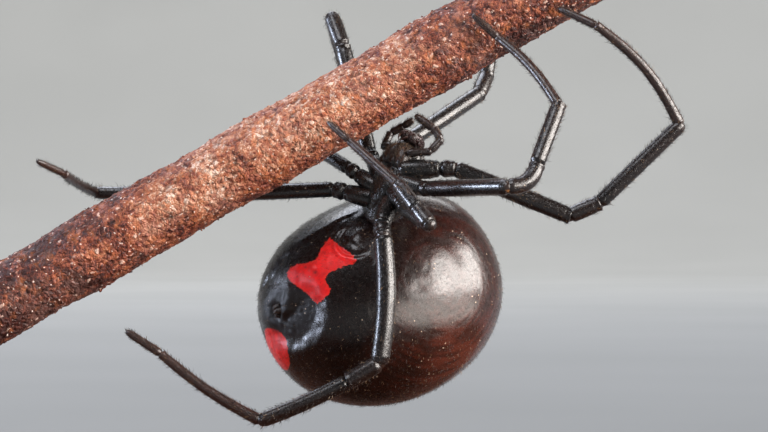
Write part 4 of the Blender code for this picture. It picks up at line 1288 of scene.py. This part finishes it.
# Where the palps grow out, forward, left and under, and for each segment its width, its widths
# at both ends as shares, how brown it is there, and its hairs as for the legs
PALP_ROOTS = {"left": (1.62, 0.74, 0.42), "right": (1.62, -0.76, 0.3)}
PALP_WIDTHS = (0.36, 0.36, 0.35, 0.33)
PALP_ENDS = ((0.9, 0.95), (0.9, 0.95), (0.95, 1.0), (1.05, 0.85))
PALP_TONES = ((0.1, 0.2), (0.2, 0.3), (0.3, 0.4), (0.4, 0.5))
PALP_HAIR = ([d * HAIR_SHARE for d in (130, 150, 190, 330)], (0.13, 0.15, 0.17, 0.17),
             (38, 42, 40, 36))


def build_palps():
    """Two short feelers beside the jaws, built as the legs are."""
    for side in ("left", "right"):
        joints = [on_chest(*PALP_ROOTS[side])] + [np.array(j) for j in PALP_JOINTS[side]]
        skin, coat = Shape("tone", "soft"), Shape("pale", "mark")
        rng = np.random.default_rng(61 + len(side))
        limb(skin, coat, rng, joints, PALP_WIDTHS, [np.zeros(3)] * 4, PALP_TONES, PALP_HAIR, 20,
             PALP_ENDS)
        build("palp_%s_skin" % side, skin, CUTICLE, "brown_cuticle", "pedipalp_" + side)
        build("palp_%s_hairs" % side, coat, LEG_HAIR, "brown_cuticle")
        way = unit(joints[-1] - joints[-2])
        claws(CLAWS, joints[-1], way, unit(np.cross(way, (0.3, 0.2, 1.0))), PALP_CLAW)


build_eyes()
build_jaws()
build_palps()
build("claws", CLAWS, MOUTH, "black_cuticle")


# Twig
TWIG_WAY = aim(0.0, TWIG_SLOPE)
TWIG_ACROSS = np.array((0.0, 0.0, 1.0))
TWIG_RISE = np.cross(TWIG_WAY, TWIG_ACROSS)
# Whether faces made ring by ring along the twig would look inwards
INWARDS = np.dot(np.cross(TWIG_ACROSS, TWIG_RISE), TWIG_WAY) < 0


def build_bark():
    """The twig's crusty bark. Gives its points, how pale each one is with its painted light and
    shade, and its middle line.
    """
    share = np.linspace(0.0, 1.0, TWIG_RINGS)
    knob = 0.05 * np.sin(share * 31.0) + 0.035 * np.sin(share * 57.0 + 1.2)
    radii = TWIG_THICKNESS / 2 * (1.0 + knob * 0.5 - 0.02)
    angles = np.linspace(0.0, math.tau, TWIG_SIDES, endpoint=False)
    out = np.cos(angles)[:, None] * TWIG_ACROSS + np.sin(angles)[:, None] * TWIG_RISE
    middle = np.array(TWIG_POINT) + TWIG_WAY * (TWIG_START + share * TWIG_LENGTH)[:, None]
    flat = (middle[:, None, :] + out[None] * radii[:, None, None]).reshape(-1, 3)
    # the crust: slow swellings, cracks along the twig, lumps and grains
    slow = rough(flat, 2.2, 1, 2)
    squeezed = flat - np.outer(flat @ TWIG_WAY, TWIG_WAY) * 0.62
    cracks = 1.0 - np.abs(rough(squeezed, 0.75, 2, 3))
    lumps = rough(flat, 0.42, 3, 3)
    grains = rough(flat, 0.15, 4, 2)
    groove = np.clip((cracks - 0.93) / 0.07, 0, 1)
    relief = 0.05 * slow + 0.05 * lumps + 0.035 * grains - 0.06 * groove
    ends = np.minimum(share, 1 - share) * TWIG_LENGTH
    relief = relief * np.repeat(smooth_step(0.0, 0.4, ends) * 0.7 + 0.3, TWIG_SIDES)
    points = flat + np.tile(out, (TWIG_RINGS, 1)) * relief[:, None]
    # painted shade: darker in the cracks and in the hollows between lumps
    deep = np.clip(groove * 0.8 + smooth_step(-0.35, -0.75, lumps) * 0.5, 0, 1)
    # painted light and shade: paler in the middle of the view's length as a painted pool of light,
    # darker towards both ends, and darker along the top and below as painted shade
    pale = 0.1 - 0.6 * smooth_step(3.0, 12.0, -4.5 - flat[:, 0])
    pale -= 0.42 * smooth_step(3.0, 10.0, flat[:, 0] + 4.5)
    rim = np.tile(np.sin(angles), TWIG_RINGS)
    pale -= 0.22 * smooth_step(0.3, 0.85, rim) + 0.1 * smooth_step(-0.6, -0.95, rim)
    quads = ring_faces(TWIG_RINGS, TWIG_SIDES)
    shape = Shape("deep", "pale")
    shape.add(points, [quads[:, ::-1] if INWARDS else quads], deep=deep, pale=pale)
    build("twig_bark", shape, BARK, "bark", "twig_perch")
    return points, pale, middle


def build_sawn_ends(points, middle):
    """The two sawn ends, a little inside the bark's lip."""
    cut = Shape("ring")
    rows = np.linspace(0.0, 1.0, 26)[1:]
    quads = np.roll(ring_faces(len(rows), TWIG_SIDES)[:, ::-1], 1, axis=1)
    side = np.arange(TWIG_SIDES)
    fan = np.stack((np.full(TWIG_SIDES, len(rows) * TWIG_SIDES), side, (side + 1) % TWIG_SIDES), -1)
    for end, sign in ((0, -1), (-1, 1)):
        centre = middle[end]
        edge = points.reshape(TWIG_RINGS, TWIG_SIDES, 3)[end] - centre
        body = (centre + edge[None] * rows[:, None, None]).reshape(-1, 3)
        lift = (0.05 * rough(body, 0.6, 9, 2) - 0.03) * np.repeat(1 - rows ** 8, TWIG_SIDES)
        body = np.concatenate((body + TWIG_WAY * sign * lift[:, None],
                               [centre - TWIG_WAY * sign * 0.05]))
        faces = [quads[:, ::-1], fan[:, ::-1]] if (sign > 0) == INWARDS else [quads, fan]
        cut.add(body, faces, ring=distance(body, centre))
    build("twig_sawn_ends", cut, CUT_WOOD, "bark")


def build_crumbs(points, pale):
    """Loose crumbs and flakes that break the twig's outline."""
    rng = np.random.default_rng(41)
    stone, stone_faces = ball(2)
    crumbs = Shape("deep", "pale")
    for _ in range(CRUMB_COUNT):
        spot = rng.integers(3 * TWIG_SIDES, (TWIG_RINGS - 3) * TWIG_SIDES)
        size = rng.uniform(0.028, 0.075) * (1.5 if rng.random() < 0.06 else 1.0)
        scale = rng.uniform(0.55, 1.3, 3)
        turned = unit(rng.normal(size=(3, 3)))
        body = stone * (1 + rng.uniform(-0.22, 0.22, (len(stone), 1))) * scale
        # each crumb has a random darker tone and takes the bark's painted light and shade where it
        # sits
        crumbs.add(points[spot] + body @ turned * size, [stone_faces],
                   deep=rng.uniform(0, 0.35), pale=pale[spot])
    build("bark_crumbs", crumbs, CRUMBS, "bark")


bark_points, bark_painted_light, twig_middle = build_bark()
build_sawn_ends(bark_points, twig_middle)
build_crumbs(bark_points, bark_painted_light)


# Stand: the solids stay, with their own finishes
for node_name, finish in (("stand_base", BASE_WOOD), ("stand_rod", STEEL)):
    for slot in frame["nodes"][node_name].material_slots:
        slot.material = finish


# Floor, light and camera
# The studio's floor, the curve up to its wall and the wall's top, in metres
FLOOR_REACH = 0.62
FLOOR_CURVE = 0.3
WALL_TOP = 0.8
# What the lamps face, and places of two of them, in the view
LAMP_TARGET = (0.0, -1.5, 0.0)
CARD_PLACE = (38.0, -10.2, 40.0)
WALL_LAMP_PLACE = (0.0, 430.0, -560.0)
CARD_RADIUS = 0.041


def build_stage():
    """A pale floor that curves up all round into a wall, far behind every view."""
    turn = np.radians(np.linspace(0.0, 90.0, 13))
    reach = np.concatenate(((0.0, 0.35), FLOOR_REACH + FLOOR_CURVE * np.sin(turn),
                            [FLOOR_REACH + FLOOR_CURVE]))
    height = np.concatenate(((0.0, 0.0), FLOOR_CURVE * (1 - np.cos(turn)), [WALL_TOP]))
    sides = 96
    angles = np.arange(sides) * math.tau / sides
    points = np.stack((np.outer(reach, np.cos(angles)), np.outer(reach, np.sin(angles)),
                       np.repeat(height - 0.00002, sides).reshape(-1, sides)), -1)
    faces = np.roll(ring_faces(len(reach), sides)[:, ::-1], 1, axis=1)
    mesh, _ = make_mesh("studio_floor", points.reshape(-1, 3), [faces])
    mesh.update(calc_edges=True)
    mesh.validate()
    mesh.materials.append(PAPER)
    stage = in_scene("studio_floor", mesh)


def turn_to(thing, way):
    """Turns a lamp so that it shines in a direction over the base."""
    thing.rotation_euler = Vector(way).to_track_quat("-Z", "Y").to_euler()


def lamp(name, way, half_wide, half_high, radiance, tint, away=600.0, lit=None):
    """A soft box seen from the spider in a direction of the view; half sizes in degrees. One
    with a collection to light leaves the base and the studio's paper alone."""
    light = bpy.data.lights.new(name, "AREA")
    light.shape = "RECTANGLE"
    light.size = 2 * away * math.tan(math.radians(half_wide)) * MM
    light.size_y = 2 * away * math.tan(math.radians(half_high)) * MM
    light.energy = radiance * math.pi * light.size * light.size_y
    light.color = colour(tint)[:3]
    thing = in_scene(name, light)
    target = np.array(LAMP_TARGET)
    here = Vector(placed(target + unit(way) * away)[0])
    thing.location = here
    turn_to(thing, Vector(placed(target)[0]) - here)
    thing.visible_camera = False
    thing.light_linking.receiver_collection = lit
    return thing


build_stage()
MODEL = bpy.data.collections.new("spider_and_twig")
for piece in bpy.context.scene.objects:
    if piece.type == "MESH" and piece.name not in ("studio_floor", "stand_base"):
        MODEL.objects.link(piece)
lamp("right_softbox", (0.91, 0.3, 0.25), 28, 20, 15.0, "fff8f2", lit=MODEL)
lamp("front_right_softbox", (0.66, 0.09, 0.74), 16, 11, 8.0, "fff8f2", lit=MODEL)
lamp("left_softbox", (-0.985, 0.13, -0.08), 14, 7, 34.0, "dbe7ff", 400.0, MODEL)
lamp("top_softbox", (-0.36, 0.81, 0.46), 15, 13, 6.2, "f6f8ff")
lamp("top_back_softbox", (-0.25, 0.8, -0.5), 16, 16, 5.5, "eaf0ff")

# a round low card to the right in front lengthens the flank's highlight downwards; its energy is
# its radiance times pi times its area
ABDOMEN_ONLY = bpy.data.collections.new("abdomen_only")
ABDOMEN_ONLY.objects.link(bpy.data.objects["abdomen_skin"])
card = lamp("low_card", (0.6, -0.2, 0.4), 1, 1, 1.0, "fff4ea", lit=ABDOMEN_ONLY)
card.location = Vector(placed(CARD_PLACE)[0])
card.rotation_euler = (math.pi, 0.0, 0.0)
card.data.shape = "DISK"
card.data.size = 2 * CARD_RADIUS
card.data.energy = 5.2 * math.pi * math.pi * CARD_RADIUS ** 2

# the wall behind gets its own light, so floor and wall have one tone
wall = lamp("wall_softbox", (0.0, 0.8, -0.3), 24, 14, 4.0, "ffffff")
wall.location = Vector(placed(WALL_LAMP_PLACE)[0])
turn_to(wall, (0.0, 0.4, -1.0))

# a faint even light in the deepest shadows
world = bpy.data.worlds.new("studio")
world.use_nodes = True
world.node_tree.nodes["Background"].inputs["Color"].default_value = colour("eef1f4")
world.node_tree.nodes["Background"].inputs["Strength"].default_value = 0.04
bpy.context.scene.world = world
bpy.context.scene.view_settings.view_transform = "Standard"
bpy.context.scene.view_settings.look = "None"

camera_data = bpy.data.cameras.new("camera")
camera_data.lens = LENS
camera_data.sensor_width = 36.0
camera_data.clip_start = 0.01
camera_data.clip_end = 10.0
camera = in_scene("camera", camera_data)
camera.location = Vector((VIEW_X, VIEW_Y - VIEW_DISTANCE, VIEW_Z)) * MM
camera.rotation_euler = (math.radians(90), 0.0, 0.0)
bpy.context.scene.camera = camera
